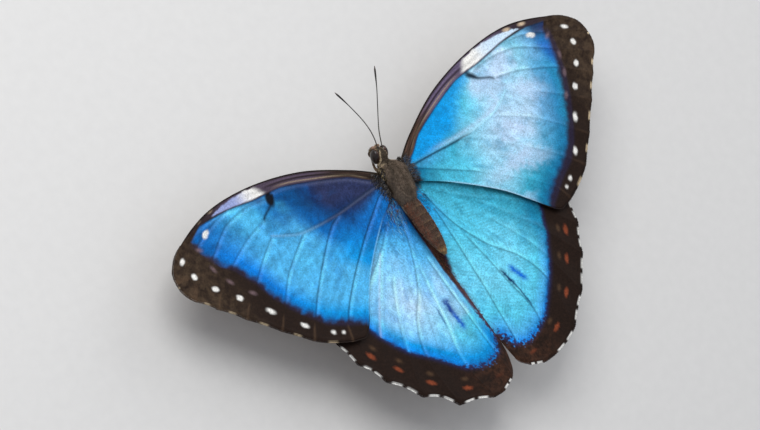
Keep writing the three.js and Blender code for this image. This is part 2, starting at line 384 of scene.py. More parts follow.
# Outlines in the wing's own plane: u runs out from the root and v towards the head.
FORE_COSTA = [(-1.2, 0.3), (5.5, 4.5), (17.3, 9.8), (31, 12.6), (44, 12.5), (55.3, 9), (60.3, 5.3),
              (61.4, 2.4)]
FORE_TRAIL = [(-0.8, -4.6), (6.5, -8.9), (17.2, -17.2), (25.9, -26.6), (29.6, -27.5), (37.5, -24.3),
              (45, -17.8), (56.2, -6.3), (60.4, -1.7), (61.4, 0.8)]
# The hindwings reach a little further than the solids', inward under the abdomen and forward under
# the forewings, to close the gaps there.
HIND_INNER = [(-0.8, -0.6), (-2.4, -4), (-3.6, -8.5), (-3.9, -13), (-3.9, -24)]
HIND_INNER_END = {
    "right": [(-3.3, -32), (-2.6, -39), (-2, -43.6), (-1.3, -46.3), (0.6, -48.1)],
    "left": [(-3.7, -32), (-3.6, -38), (-3.2, -42.8), (-1.7, -46.2), (0.6, -48.1)],
}
HIND_OUTER = [(1.0, 1.6), (8, 0.6), (20, -3.2), (29.5, -10.7), (32.8, -17), (32.9, -23.8), (30.4, -29.9),
              (25.9, -37), (21, -42), (15.2, -46.8), (10.3, -48.8), (4.2, -49.3)]
HIND_VEIN_ENDS = [(29.5, -10.7), (33.3, -20.8), (31.7, -27), (27.9, -32.9), (22.3, -39.7), (15.9, -46),
                  (7.1, -49.2)]
ANAL_ANGLE = (-0.3, -47.7)
FORE_SCALLOPS = (-0.15, -0.3)  # below 0, as that edge runs the other way round its wing
FORE_CURL = dict(trailing=0.5, costa=0.8)
ANAL_FOLD = dict(start=0.6, end=-3.9, depth=2.25, loss=1.1)


def fore_height(t, s):
    """Height of the forewing's middle, from root to tip and from trailing edge to costa."""
    middle = np.sin(np.pi * t)
    return FORE_LIFT + FORE_CURL["trailing"] * (1 - s) ** 2 * middle - FORE_CURL["costa"] * s ** 3 * middle


def hind_height(u, v):
    """Height of the hindwing's middle: low under the forewing, folded down by the abdomen."""
    drop = HIND_DROP * (1 - smooth(-14, -30, v))
    deep = ANAL_FOLD["depth"] * smooth(1, -6, v)
    shallower = ANAL_FOLD["loss"] * smooth(-20, -44, v)
    return -drop - (deep - shallower) * smooth(ANAL_FOLD["start"], ANAL_FOLD["end"], u)


def bowed(points, bow):
    """The forewing's leading edge, bowed out towards the tip."""
    return [(u, v + bow * smooth(20, 45, u)) for u, v in points]


def scalloped(line, ends, first, last):
    """An edge with a hollow on its right between the ends of each two veins, first to last as deep."""
    tangent = np.gradient(line, axis=0)
    tangent /= np.linalg.norm(tangent, axis=1)[:, None]
    nearest = [int(np.argmin(np.hypot(*(line - end).T))) for end in ends]
    depth = np.zeros(len(line))
    for start, stop, deep in zip(nearest, nearest[1:], np.linspace(first, last, len(ends) - 1)):
        x = (np.arange(start, stop) - start) / (stop - start)
        depth[start:stop] = deep * np.sin(np.pi * x)
    return line + np.stack((tangent[:, 1], -tangent[:, 0]), 1) * depth[:, None]


# ---- Wings: veins, in the wing's plane --------------------------------------------------------

FORE_VEINS = {
    "radius": [(-1, -1), (3, 0.5), (7.5, 3.5), (15.5, 6.5), (24, 9), (32, 9.5), (40, 10.5), (48, 10.5),
               (56, 8.5)],
    "radius_5": [(40, 10.5), (47, 9), (54, 6), (61.5, 2.5)],
    "subcosta": [(2, 1), (8, 4.5), (17, 8.5), (26, 10.5), (33, 11.5)],
    "media_1": [(29.5, 8.5), (34, 9), (39, 8.5), (43, 7.5), (49, 4), (59.5, -2.5)],
    "media_2": [(33.5, 4.5), (39.5, 3), (48.5, -1), (55.5, -6)],
    "media_3": [(33.5, 1), (40, -3), (51, -11)],
    "cubitus": [(0.5, -1.5), (8, -2), (16, -2.5), (26, -2), (30.5, -0.5), (33.5, 1)],
    "cubitus_1": [(26, -2), (32, -5.5), (37, -9), (45.5, -17.5)],
    "cubitus_2": [(15.5, -2.5), (20.5, -5), (32.5, -15), (40, -23)],
    "cell_end": [(27, 8.5), (29.5, 6.5), (32.5, 5), (34, 2.5), (33.5, 1)],
    "anal": [(1.5, -2.5), (13.5, -10), (23, -17), (28.5, -22), (31, -26.5)],
}
FORE_VEIN_ENDS = [FORE_VEINS[name][-1] for name in
                  ("radius_5", "media_1", "media_2", "media_3", "cubitus_1", "cubitus_2", "anal")]
HIND_VEINS = {
    "radial_sector": [(3, -2.5), (8, -5), (20, -9.5), (33, -20)],
    "media_1": [(5, -5.5), (10, -9.5), (22, -17), (31.5, -27)],
    "media_2": [(10.5, -10), (15, -15), (22.5, -24), (28, -33)],
    "media_3": [(8.5, -10), (10, -13), (18, -26), (22.5, -39.5)],
    "cubitus_1": [(0.5, -4), (2, -9.5), (4, -14.5), (8, -21), (13.5, -27), (16.5, -34.5), (16, -46)],
    "cubitus_2": [(3.5, -14), (5.5, -22.5), (7, -30), (9, -39), (7, -49)],
    "anal": [(0, -4), (1, -10), (1, -25), (0.5, -40), (0, -47.5)],
}
VEIN_STEPS = 40
# How far from root to tip the fringe starts on the leading edge and ends on the trailing one.
FRINGED = {"fore": (0.86, 0.38), "hind": (0.3, 0.92)}
FAN = {"fore": -1.0, "hind": 1.0}  # the height on the root line from which a wing's veins fan out


class Veins:
    """How far each point of a wing is from each vein, and how far along it the nearest place is."""

    def __init__(self, u, v, lines):
        self.names = list(lines)
        found = [distance_to(u, v, spline(points, VEIN_STEPS)) for points in lines.values()]
        self.away = np.stack([far for far, _ in found])
        self.along = np.stack([place for _, place in found])

    def ridge(self, width):
        """1 on a vein and 0 away from it, thinner towards its end."""
        thin = width * (1 - 0.45 * self.along)
        return bell(self.away, thin).max(axis=0)

    def one(self, name, width, start=0.0, end=1.0, shift=0.0):
        """1 on part of one vein, or beside it where there is a shift, and 0 away from it."""
        place = self.place(name)
        part = smooth(start - 0.06, start + 0.02, place) * (1 - smooth(end - 0.02, end + 0.06, place))
        return bell(self.above(name), width, shift) * part

    def above(self, name):
        """How far each point lies from one vein, above 0 on the vein's left."""
        return self.away[self.names.index(name)]

    def place(self, name):
        """How far along one vein each point's nearest place lies, from 0 to 1."""
        return self.along[self.names.index(name)]

    def between(self):
        """0 on a vein and 1 midway between two."""
        nearest = np.sort(np.abs(self.away), axis=0)
        return 2 * nearest[0] / (nearest[0] + nearest[1] + 1e-6)


class Wing:
    """One wing: its grid of points in its plane, its place in the body's frame, and its fields."""

    def __init__(self, kind, side_name, rows, columns):
        pose = POSE[side_name]
        self.kind, self.side_name, self.side = kind, side_name, pose["side"]
        self.rows, self.columns = rows, columns
        t, s = np.meshgrid(np.linspace(0, 1, rows + 1), np.linspace(0, 1, columns + 1), indexing="ij")
        shape = SHAPE[side_name]
        if kind == "fore":
            first = scalloped(spline(FORE_TRAIL, rows + 1), FORE_VEIN_ENDS[:0:-1], *FORE_SCALLOPS)
            second = spline(bowed(FORE_COSTA, shape["costa_bow"]), rows + 1)
            self.root_y, self.spread, lines = FORE_ROOT_Y, (1, 1), FORE_VEINS
        else:
            s = s ** 1.5
            first = spline(HIND_INNER + HIND_INNER_END[side_name], rows + 1)
            second = scalloped(spline(HIND_OUTER, rows + 1), HIND_VEIN_ENDS, *shape["scallops"])
            self.root_y, self.spread, lines = HIND_ROOT_Y, shape["hind_spread"], HIND_VEINS
        self.t, self.s = t, s
        self.u = first[:, :1] * (1 - s) + second[:, :1] * s
        self.v = first[:, 1:] * (1 - s) + second[:, 1:] * s
        self.veins = Veins(self.u, self.v, lines)
        away, self.margin_place = distance_to(self.u, self.v, self.outer_edge())
        self.margin = np.abs(away)
        self.on_rim = 1 - smooth(0.1, 0.3, self.margin)
        self.root = np.hypot(self.u, self.v - FAN[kind])
        self.bearing = np.degrees(np.arctan2(self.v - FAN[kind], self.u + 1.0))
        turn = (Matrix.Rotation(math.radians(-pose["dihedral"]), 3, "Y")
                @ Matrix.Rotation(math.radians(pose[f"{kind}_sweep"]), 3, "Z")
                @ Matrix.Rotation(math.radians(pose["pitch"]), 3, "X"))
        self.turn = np.array(turn)

    def edge_cells(self):
        """Grid places along the fringed edge, from the head's side round to the tail's."""
        start, stop = (int(part * self.rows) for part in FRINGED[self.kind])
        out, across = np.arange(start, self.rows), np.arange(self.columns, 0, -1)
        back = np.arange(self.rows, stop, -1)
        i = np.concatenate((out, np.full_like(across, self.rows), back))
        j = np.concatenate((np.full_like(out, self.columns), across, np.zeros_like(back)))
        return i, j

    def outer_edge(self):
        """A line along the fringed edge."""
        i, j = self.edge_cells()
        return np.stack((self.u[i, j], self.v[i, j]), 1)[::3]

    def from_side(self, column):
        """Distance from one side of the grid: column 0 is towards the tail and -1 towards the head."""
        side = np.stack((self.u[:, column], self.v[:, column]), 1)
        return np.abs(distance_to(self.u, self.v, side[::3])[0])

    def height(self):
        """The middle of the membrane, as in the solids."""
        return fore_height(self.t, self.s) if self.kind == "fore" else hind_height(self.u, self.v)

    def at(self, u, v, w):
        """Points of the wing's own frame, in the body's."""
        local = np.stack((u * self.spread[0], v * self.spread[1], w), -1)
        placed = local @ self.turn.T + (WING_ROOT_X, self.root_y, 0)
        return placed * (self.side, 1, 1)


# ---- Wings: the colours of the upper side -----------------------------------------------------

NAVY = linear(40, 48, 84)
MIDNIGHT = linear(10, 44, 92)
PETROL = linear(3, 74, 130)
INDIGO = linear(2, 82, 148)
COBALT = linear(5, 104, 180)
ULTRAMARINE = linear(0, 128, 224)
AZURE = linear(5, 150, 220)
TEAL = linear(24, 128, 165)
TURQUOISE = linear(62, 170, 198)
CYAN = linear(88, 200, 228)
AQUA = linear(116, 212, 240)
SKY = linear(80, 178, 230)
GLACIER = linear(136, 206, 246)
ICE = linear(140, 206, 230)
PALE = linear(180, 215, 241)
STEEL = linear(104, 166, 208)
SLATE = linear(70, 90, 110)
BORDER = linear(36, 24, 18)
RUSSET = linear(78, 50, 36)
UMBER = linear(82, 66, 50)
VIOLET_SHEEN = linear(98, 86, 112)
BONE = linear(238, 236, 230)
CREAM = linear(214, 190, 160)
ORANGE = linear(138, 68, 42)
LAVENDER = linear(198, 217, 244)
DENIM = linear(50, 138, 188)
ROYAL = linear(30, 92, 190)
INK = linear(6, 52, 84)

FUR_DARK = linear(40, 32, 25)
FUR = linear(94, 80, 68)
FUR_LIGHT = linear(142, 126, 108)
SIDE_RED = linear(104, 66, 46)
BELLY = linear(150, 128, 98)
TAIL_TAN = linear(178, 142, 88)
FACE_TAN = linear(222, 200, 164)

# How the blue runs from the root (0) to the dark border (1), in three fans from the wing's
# leading side to its trailing side. The right wings catch the light more than the left ones, so
# their blues are painted lighter: painted light.
BLUES = {
    ("fore", "right"): (
        [(0, AZURE), (0.36, AZURE), (0.46, CYAN), (0.56, ICE), (0.82, ICE), (0.9, STEEL), (0.96, DENIM),
         (1, ROYAL)],
        [(0, TEAL), (0.15, SKY), (0.34, TURQUOISE), (0.48, ICE), (0.6, PALE), (0.78, PALE), (0.86, STEEL),
         (0.94, DENIM), (1, TEAL)],
        [(0, PETROL), (0.12, TEAL), (0.24, TURQUOISE), (0.42, CYAN), (0.55, ICE), (0.7, ICE),
         (0.82, TURQUOISE), (0.92, TEAL), (1, PETROL)],
    ),
    ("fore", "left"): (
        [(0, NAVY), (0.36, NAVY), (0.42, MIDNIGHT), (0.5, PETROL), (0.64, INDIGO), (0.7, DENIM), (0.76, SKY),
         (0.82, DENIM), (0.9, COBALT), (1, INDIGO)],
        [(0, NAVY), (0.2, NAVY), (0.35, MIDNIGHT), (0.43, INDIGO), (0.51, COBALT), (0.59, SKY), (0.88, SKY),
         (0.96, ULTRAMARINE), (1, COBALT)],
        [(0, COBALT), (0.38, COBALT), (0.6, AZURE), (0.67, SKY), (0.86, SKY), (0.95, AZURE), (1, COBALT)],
    ),
    ("hind", "right"): (
        [(0, TEAL), (0.3, TURQUOISE), (0.55, TURQUOISE), (0.8, TURQUOISE), (0.92, TEAL), (1, TEAL)],
        [(0, TEAL), (0.2, TURQUOISE), (0.5, CYAN), (0.75, AQUA), (0.92, CYAN), (0.97, SKY), (1, COBALT)],
        [(0, TEAL), (0.2, AZURE), (0.45, CYAN), (0.7, AQUA), (0.88, CYAN), (0.95, SKY), (1, ULTRAMARINE)],
    ),
    ("hind", "left"): (
        [(0, COBALT), (0.3, COBALT), (0.4, SKY), (0.6, GLACIER), (0.8, GLACIER), (0.93, SKY),
         (1, ULTRAMARINE)],
        [(0, COBALT), (0.24, COBALT), (0.36, SKY), (0.56, GLACIER), (0.72, PALE), (0.88, GLACIER),
         (0.95, AZURE), (1, ULTRAMARINE)],
        [(0, INDIGO), (0.24, COBALT), (0.42, SKY), (0.66, GLACIER), (0.84, CYAN), (0.95, AZURE), (1, COBALT)],
    ),
}
FANS = {"fore": (14, -6, -32), "hind": (-42, -62, -84)}  # the middle bearing of each fan, in degrees

# The inner edge of the dark border, from the leading side to the trailing side.
BORDER_EDGES = {
    ("fore", "right"): [(53, 9.5), (52, 8), (51.5, 4.5), (50, 0), (48, -4.5), (44.5, -10.5), (40, -16.5),
                        (36.5, -19.5), (31.5, -22), (26, -25.5)],
    ("fore", "left"): [(52, 8.5), (49.5, 2.5), (46, -1), (43.5, -5.5), (42, -9.5), (39.5, -14), (34, -20.5),
                       (29.5, -23), (25, -25)],
    ("hind", "right"): [(27.5, -14), (22.5, -26), (18, -33), (11, -40.5), (7, -42.5), (3.5, -43.5),
                        (0, -42.5), (-1.5, -39)],
    ("hind", "left"): [(27, -14), (23, -25), (19.5, -30.5), (14, -35.5), (9, -40.5), (5.5, -42), (3, -42.5),
                       (-0.5, -41.5), (-2.5, -39)],
}
HIND_CREST = {  # where the blue ends on the fold beside the abdomen, from the tail to the head
    "right": [(-2.7, -37), (-2.7, -22), (-1.9, -17.6), (-1.2, -12), (-1.2, -5)],
    "left": [(-2.7, -36), (-2.5, -27), (-2.1, -20.5), (-2.3, -13), (-2.3, -5)],
}

# Pale dots in the forewing's border: where they are, half their length and width, and their angle.
FORE_SPOTS = [((57, 5.9), (0.85, 0.5), 150), ((56.6, 1.8), (0.7, 0.62), 90), ((53.8, -2.6), (0.7, 0.6), 60),
              ((49.8, -6.9), (0.78, 0.6), 50), ((45, -12.6), (1.1, 0.52), 50),
              ((39.7, -18.9), (0.9, 0.5), 45), ((34.2, -23.4), (0.55, 0.45), 40),
              ((32.1, -24.5), (0.4, 0.36), 30)]
FORE_SUBAPICAL = ((47.8, 8.35), (1.1, 0.55), 155)
FORE_COSTAL_DOTS = [(43.3, 12.35), (47.6, 11.6)]
FORE_FAINT = [((51.6, 6.2), 30), ((51.4, 1.2), 70), ((49.6, -2.9), 55), ((46.3, -7.4), 45)]
HIND_LUNULES = [((28, -27.1), 68), ((24, -32.7), 56), ((19, -39), 46), ((11.7, -44.4), 24)]
HIND_FAINT_LUNULE = ((3, -46.1), 4)

# How each vein is drawn: from, to, and how strong, dark below 0 and light above.
VEIN_TONES = {
    ("fore", "right"): dict(radius=(0, 1, -0.75), media_1=(0, 1, -0.5), media_2=(0, 1, -0.55),
                            media_3=(0.4, 1, -0.35), cubitus_1=(0.1, 1, -0.28), cubitus_2=(0.55, 1, -0.3),
                            anal=(0, 0.4, -0.5), radius_5=(0.1, 1, -0.4)),
    ("fore", "left"): dict(radius=(0, 1, -0.6), media_1=(0, 1, -0.45), media_2=(0, 1, -0.4),
                           media_3=(0, 1, -0.5), cubitus_1=(0, 1, -0.55), cubitus_2=(0, 1, -0.7),
                           anal=(0, 1, -0.75), radius_5=(0, 1, -0.45)),
    ("hind", "right"): dict(radial_sector=(0, 1, -0.1), media_1=(0, 1, -0.12), media_2=(0.1, 1, -0.15),
                            media_3=(0.25, 1, -0.3), cubitus_1=(0, 1, -0.6), cubitus_2=(0.1, 1, -0.6),
                            anal=(0.1, 1, -0.6)),
    ("hind", "left"): dict(radial_sector=(0, 1, -0.4), media_1=(0, 1, -0.45), media_2=(0, 0.7, 0.45),
                           media_3=(0.2, 1, -0.35), cubitus_1=(0, 1, -0.5), cubitus_2=(0.1, 1, -0.25),
                           anal=(0.3, 1, -0.5)),
}


def ramp(x, stops):
    """The colour at each x along a list of (place, colour) stops."""
    places = [place for place, _ in stops]
    return np.stack([np.interp(x, places, [colour[i] for _, colour in stops]) for i in range(3)], -1)


def blues(wing, reach):
    """The ground colour of the blue area, blended over three fans of bearing."""
    leading, middle, trailing = FANS[wing.kind]
    wander = 4 * layered_noise(wing.u * 0.3, wing.v * 0.3, seed=3)
    bearing = wing.bearing + wander
    fans = [ramp(reach, stops) for stops in BLUES[wing.kind, wing.side_name]]
    upper = mix(fans[0], fans[1], smooth(leading, middle, bearing))
    return mix(upper, fans[2], smooth(middle, trailing, bearing))


def blue_outline(wing):
    """The closed outline of the blue area: its leading line, its border and a line past the root."""
    border = BORDER_EDGES[wing.kind, wing.side_name]
    if wing.kind == "fore":
        leading = FORE_VEINS["radius"][:-1]
        return [(-6, 0)] + leading + border + [(20, -34), (-6, -14)]
    return [(-6, 6), (34, 4), (34, -12)] + border + HIND_CREST[wing.side_name] + [(-6, -3)]


def blue_place(wing):
    """How far each point lies from the root (0) to the border (1), and how deep in the blue area."""
    border = np.array(BORDER_EDGES[wing.kind, wing.side_name], float)
    to_border = np.abs(distance_to(wing.u, wing.v, border)[0])
    return wing.root / (wing.root + to_border), depth_inside(wing.u, wing.v, blue_outline(wing))


def vein_ink(wing, paint):
    """Draw the veins as thin lines, dark or pale, each with a painted highlight beside it, brighter on the
    left wings.
    """
    lit_side, shine = (1, 0.25) if wing.side_name == "right" else (-1, 0.6)
    for name, (start, end, strength) in VEIN_TONES[wing.kind, wing.side_name].items():
        line = wing.veins.one(name, 0.22, start, end)
        shoulder = wing.veins.one(name, 0.45, start, end, shift=0.55 * lit_side)
        ink = mix(paint, INK, 0.7) * 0.5 if strength < 0 else LAVENDER
        # The shoulder is a painted highlight on each vein's lit side.
        paint = mix(paint, np.minimum(paint * 1.5 + 0.05, 1), shoulder * shine)
        paint = mix(paint, ink, line * abs(strength))
    return paint


def margin_cell(wing, ends):
    """How far each point lies along the edge from the end of one vein (0) to the next one's (1)."""
    edge = wing.outer_edge()
    at = np.array([distance_to(np.array([u]), np.array([v]), edge)[1][0] for u, v in ends])
    cell = np.clip(np.searchsorted(at, wing.margin_place) - 1, 0, len(at) - 2)
    return (wing.margin_place - at[cell]) / (at[cell + 1] - at[cell])


# How strong the mottling is on each wing: streaks along the veins, ripples across them, pale and
# deep patches with their colours, and speckle near the root.
GRAIN = {
    ("fore", "right"): dict(streaks=0.1, ripples=0.035, pale=(LAVENDER, 0.8), deep=(TEAL, 0.5), speckle=0.12),
    ("fore", "left"): dict(streaks=0.26, ripples=0.03, pale=(CYAN, 0.25), deep=(COBALT, 0.35), speckle=0.3),
    ("hind", "right"): dict(streaks=0.1, ripples=0.08, pale=(AQUA, 0.25), deep=(TEAL, 0.45), speckle=0.15),
    ("hind", "left"): dict(streaks=0.22, ripples=0.04, pale=(PALE, 0.45), deep=(COBALT, 0.35), speckle=0.35),
}


def grain(wing, paint, reach):
    """Mottling of the scales: soft patches, streaks along the veins, ripples across them and speckle."""
    u, v = wing.u, wing.v
    strength = GRAIN[wing.kind, wing.side_name]
    patches = layered_noise(wing.bearing * 0.085, wing.root * 0.13, seed=11, layers=4)
    mottle = layered_noise(wing.bearing * 0.2 + 0.1 * u, wing.root * 0.3, seed=15, layers=4)
    streaks = layered_noise(wing.bearing * 0.55, wing.root * 0.06, seed=21, layers=3)
    fine = layered_noise(u * 0.9 + v * 0.3, v * 0.9, seed=31, layers=4)
    nearest_vein = np.abs(wing.veins.away).min(axis=0)
    ripples = np.sin(2 * np.pi * (0.95 * wing.root + 0.9 * nearest_vein + 0.6 * patches))
    outer = smooth(0.4, 0.6, reach)
    (pale, pale_amount), (deep, deep_amount) = strength["pale"], strength["deep"]
    paint = layered(paint,
                    (pale, pale_amount * smooth(0, 0.7, patches) * outer * smooth(0.95, 0.8, reach)),
                    (deep, deep_amount * smooth(0, 0.8, mottle) * smooth(0.25, 0.45, reach)))
    amount = 1 + 0.08 * mottle + strength["streaks"] * streaks * outer + 0.28 * fine
    amount = amount + strength["ripples"] * ripples
    speckle = strength["speckle"] * smooth(26, 8, wing.root) * noise(u * 4.5, v * 3, seed=43)
    return paint * np.clip(amount + speckle, 0.45, 1.5)[..., None]


CELL_BAR = (28.2, 8.0)
NICK = linear(96, 74, 56)
MAUVE = linear(150, 124, 130)
COSTA_BROWN = linear(76, 56, 46)
VIOLET_HAZE = linear(46, 46, 84)

# Where the two forewings' colours differ: the cubitus's inner colour and its outer one, a painted
# highlight, and where along it the highlight comes in; the colour, half size and angle of the bar
# at the cell's end; how streaked the border's edge is and how far in it lies; how light the strip
# along the leading edge is and how strong its painted violet sheen, with its pale flash's outer
# colour and start; how strong the nicks at the veins' ends and the dashes between them are; and
# the colour of the painted highlight along the trailing edge near the root.
FORE_LOOKS = {
    "right": dict(cubitus=(INK * 0.5, ICE + 0.15), highlight_span=(0.42, 0.6), bar=linear(2, 26, 44),
                  bar_half=(1.8, 0.6), bar_angle=-50, streaked=0.3, inset=0.7, strip=1, violet=0.9,
                  flash=linear(206, 228, 246), flash_start=25.4, nicks=0.22, dashes=0.8, trailing_highlight=PALE),
    "left": dict(cubitus=(linear(66, 76, 104), STEEL), highlight_span=(0.5, 0.8), bar=linear(8, 8, 14),
                 bar_half=(1.9, 1.05), bar_angle=-70, streaked=0.9, inset=0.1, strip=0.5, violet=0.45,
                 flash=linear(150, 162, 208), flash_start=27.2, nicks=0.4, dashes=0.4, trailing_highlight=GLACIER),
}
AZURE_BAND = [(0, 4), (8, 5), (16, 3.8), (22, 2.4), (28, 0.4)]  # its width below the radius, along u
FLASH_RIM = [(25, 0.35), (33, 0.4), (40, 0.7), (47, 1.6)]  # the dark rim in front of the flash, along u
# Painted highlights on the right forewing: where they are, half their length and width, and their angle.
LIT_PATCHES = [((23, -13.6), (6, 1.5), 6), ((28.5, -14), (5, 2.4), -20), ((30.5, 3.6), (4, 3), -20),
               ((38.5, -1), (4.5, 2), -30)]


def azure_band(wing, blue, rough):
    """The deep band along the right forewing's leading side, which ends over the cubitus."""
    u, veins = wing.u, wing.veins
    band = np.interp(u, *zip(*AZURE_BAND)) + 0.8 * rough
    over_cubitus = smooth(-0.2, 1.2, veins.above("cubitus"))
    inside = smooth(band + 2.8, band - 1.2, -veins.above("radius"))
    return mix(blue, AZURE, 0.9 * inside * smooth(30, 25, u) * over_cubitus)


def catch_light(wing, blue, rough):
    """Painted highlights on the right forewing, a strip above the cubitus and patches, and the deep blue by
    its tip.
    """
    u, v = wing.u, wing.v
    blue = mix(blue, LAVENDER, 0.35 * wing.veins.one("cubitus", 0.6, 0, 0.9, shift=0.8) * smooth(5, 14, u))
    for centre, half, angle in LIT_PATCHES:
        blue = mix(blue, LAVENDER, 0.5 * spot(u + 0.8 * rough, v + rough, centre, half, angle, edge=1.6))
    return layered(blue,
                   (ROYAL, 0.6 * spot(u, v, (49.6, 3.6), (1.6, 3.4), 10, edge=1.3)),
                   (NAVY, 0.9 * smooth(46.5, 50, u) * smooth(6, 8.5, v)))


def fore_blue(wing, rough, reach):
    """The forewing's blue with its veins and the dark bar at the end of its cell."""
    look, veins = FORE_LOOKS[wing.side_name], wing.veins
    right = wing.side_name == "right"
    blue = blues(wing, reach)
    if right:
        blue = azure_band(wing, blue, rough)
    blue = grain(wing, blue, reach)
    if right:
        blue = catch_light(wing, blue, rough)
    blue = vein_ink(wing, blue)
    # On the left, a painted shadow beside the raised cubitus.
    if not right:
        blue = mix(blue, INK * 0.4, 0.5 * veins.one("cubitus", 0.3, 0, 0.9, shift=0.4))
    # The cubitus turns to its outer colour, a painted highlight, along its lit length.
    cubitus = mix(*look["cubitus"], smooth(*look["highlight_span"], veins.place("cubitus")))
    bar = spot(wing.u, wing.v, CELL_BAR, look["bar_half"], look["bar_angle"], edge=0.4)
    return layered(blue,
                   (cubitus, 0.85 * veins.one("cubitus", 0.3, 0, 1)),
                   (INK * 0.3, 0.85 * veins.one("cell_end", 0.3, 0, 0.62)),
                   (look["bar"], 0.97 * bar))


def costal_strip(wing, paint, rough):
    """The strip along the leading edge: brown, then a painted violet sheen, with fine lines, a pale flash and
    dots.
    """
    u, v, look = wing.u, wing.v, FORE_LOOKS[wing.side_name]
    above = wing.veins.above("radius")
    from_costa = wing.from_side(-1)
    strip = smooth(-0.1, 0.3, above) * smooth(55, 51, u)
    # Further out the strip takes a painted violet sheen.
    base = layered(COSTA_BROWN * look["strip"],
                   (VIOLET_SHEEN, smooth(8, 17, u) * look["violet"]),
                   (BORDER, smooth(36, 47, u) * 0.85))
    base = base * (1 + 0.4 * np.sin(2 * np.pi * above / 0.75) * smooth(30, 22, u))[..., None]
    tan_line = strip * bell(above, 0.16, 0.6) * (1 - smooth(22, 27, u)) * smooth(2, 6, u)
    flash_colour = mix(BONE, look["flash"], smooth(31, 37, u + 0.5 * rough))
    flash_rim = np.interp(u, *zip(*FLASH_RIM)) + 0.25 * rough
    flash_start = look["flash_start"]
    flash_ends = smooth(flash_start, flash_start + 2.2, u - 0.8 * above) * (1 - smooth(44, 50, u))
    flash = strip * flash_ends * smooth(flash_rim, flash_rim + 0.3, from_costa) * smooth(0.15, 0.4, above)
    paint = layered(paint,
                    (base, strip),
                    (CREAM, 0.4 * tan_line),
                    (BORDER * 0.6, 0.8 * wing.veins.one("subcosta", 0.2, 0, 0.8)),
                    (flash_colour, 0.97 * flash))
    for centre in FORE_COSTAL_DOTS:
        paint = mix(paint, CREAM, 0.85 * spot(u, v, centre, (0.95, 0.4), -12))
    return mix(paint, BORDER * 0.7, 0.95 * strip * (1 - smooth(0.3, 0.5, from_costa)))


def fore_marks(wing, paint):
    """Pale dots in the border, and nicks and dashes along the margin."""
    u, v, look = wing.u, wing.v, FORE_LOOKS[wing.side_name]
    wobble_u, wobble_v = (0.16 * noise(u * 1.6, v * 1.6, seed=seed) for seed in (81, 82))
    for centre, half, angle in FORE_SPOTS + [FORE_SUBAPICAL]:
        paint = mix(paint, BONE, 0.97 * spot(u + wobble_u, v + wobble_v, centre, half, angle))
    for centre, angle in FORE_FAINT:
        paint = mix(paint, MAUVE, 0.45 * spot(u, v, centre, (0.8, 0.4), angle, edge=0.35))
    across = margin_cell(wing, FORE_VEIN_ENDS)
    on_vein = bell(np.minimum(across, 1 - across), 0.035) * (1 - smooth(2.5, 4.5, wing.margin))
    dash = smooth(0.32, 0.4, across) * (1 - smooth(0.56, 0.64, across)) * wing.on_rim
    return layered(paint,
                   (NICK, look["nicks"] * on_vein * (u > 30)),
                   (FACE_TAN, look["dashes"] * dash))


def paint_fore(wing):
    """The forewing's upper side."""
    u, v, look = wing.u, wing.v, FORE_LOOKS[wing.side_name]
    rough = layered_noise(u * 1.1, v * 1.1, seed=5, layers=3)
    reach, depth = blue_place(wing)
    blue = fore_blue(wing, rough, reach)
    dark = mix(BORDER, UMBER, np.clip(0.4 + 0.5 * rough, 0, 0.8) * smooth(44, 58, u))
    dark = dark * (1 + 0.18 * noise(u * 3, v * 3, seed=8))[..., None]
    haze = bell(np.minimum(depth + 0.6, 0), 0.5)
    dark = mix(dark, VIOLET_HAZE, 0.35 * haze * smooth(9, 6, v))
    streaks = layered_noise(wing.bearing * 0.6, wing.root * 0.1, seed=23, layers=2)
    on_border = smooth(0.4, 3, -wing.veins.above("radius"))
    uneven = 0.4 * rough + look["streaked"] * streaks - look["inset"]
    soft = 0.25 + 0.65 * on_border
    paint = mix(dark, blue, smooth(-soft, soft, depth + uneven * on_border))
    paint = fore_marks(wing, costal_strip(wing, paint, rough))
    # A painted highlight along the curled trailing edge near the root, and the dark hair at the root.
    trailing_highlight = (1 - smooth(0.15, 0.5, wing.from_side(0))) * smooth(4, 10, u) * smooth(25, 20, u)
    return layered(paint, (look["trailing_highlight"], 0.55 * trailing_highlight), (FUR_DARK, smooth(2.2, 0.6, u + 0.5 * rough)))


CHESTNUT = linear(98, 60, 46)
DUSK = linear(30, 60, 130)
INNER_LUNULE = linear(126, 96, 70)
FAINT_LUNULE_STRENGTH = {"right": 0.4, "left": 0.12}
FOLD_SHADOW = ((-3.3, -19.5), (1.0, 3))  # where it is, and half its size

# Deep marks on the hindwings: a line, its width and its colour.
HIND_MARKS = {
    "right": [([(7, -26.3), (7.7, -29.6), (8.6, -33), (9.1, -36.5), (9.2, -40)], 0.2, linear(6, 50, 100)),
              ([(6.8, -26), (7.6, -29.4), (8.5, -32.4)], 0.46, linear(0, 40, 90)),
              ([(9.2, -26.6), (10.6, -29.6), (12.4, -32.8)], 0.66, linear(0, 100, 210))],
    "left": [([(3.4, -25), (3.9, -30.4)], 0.75, linear(0, 52, 140)),
             ([(3.7, -28.6), (3.2, -34.4)], 0.6, linear(0, 84, 190)),
             ([(6.6, -25.5), (7, -29), (7.4, -31.5)], 0.16, linear(10, 70, 130))],
}


def hind_blue(wing, speckle, reach):
    """The hindwing's blue with its veins and its deep marks."""
    blue = vein_ink(wing, grain(wing, blues(wing, reach), reach))
    for line, width, colour in HIND_MARKS[wing.side_name]:
        away, on_line = distance_to(wing.u, wing.v, np.array(line, float))
        ends = smooth(0, 0.3, on_line) * smooth(1, 0.7, on_line)
        blue = mix(blue, colour, 0.95 * ends * bell(away + 0.5 * speckle * width, width))
    return blue


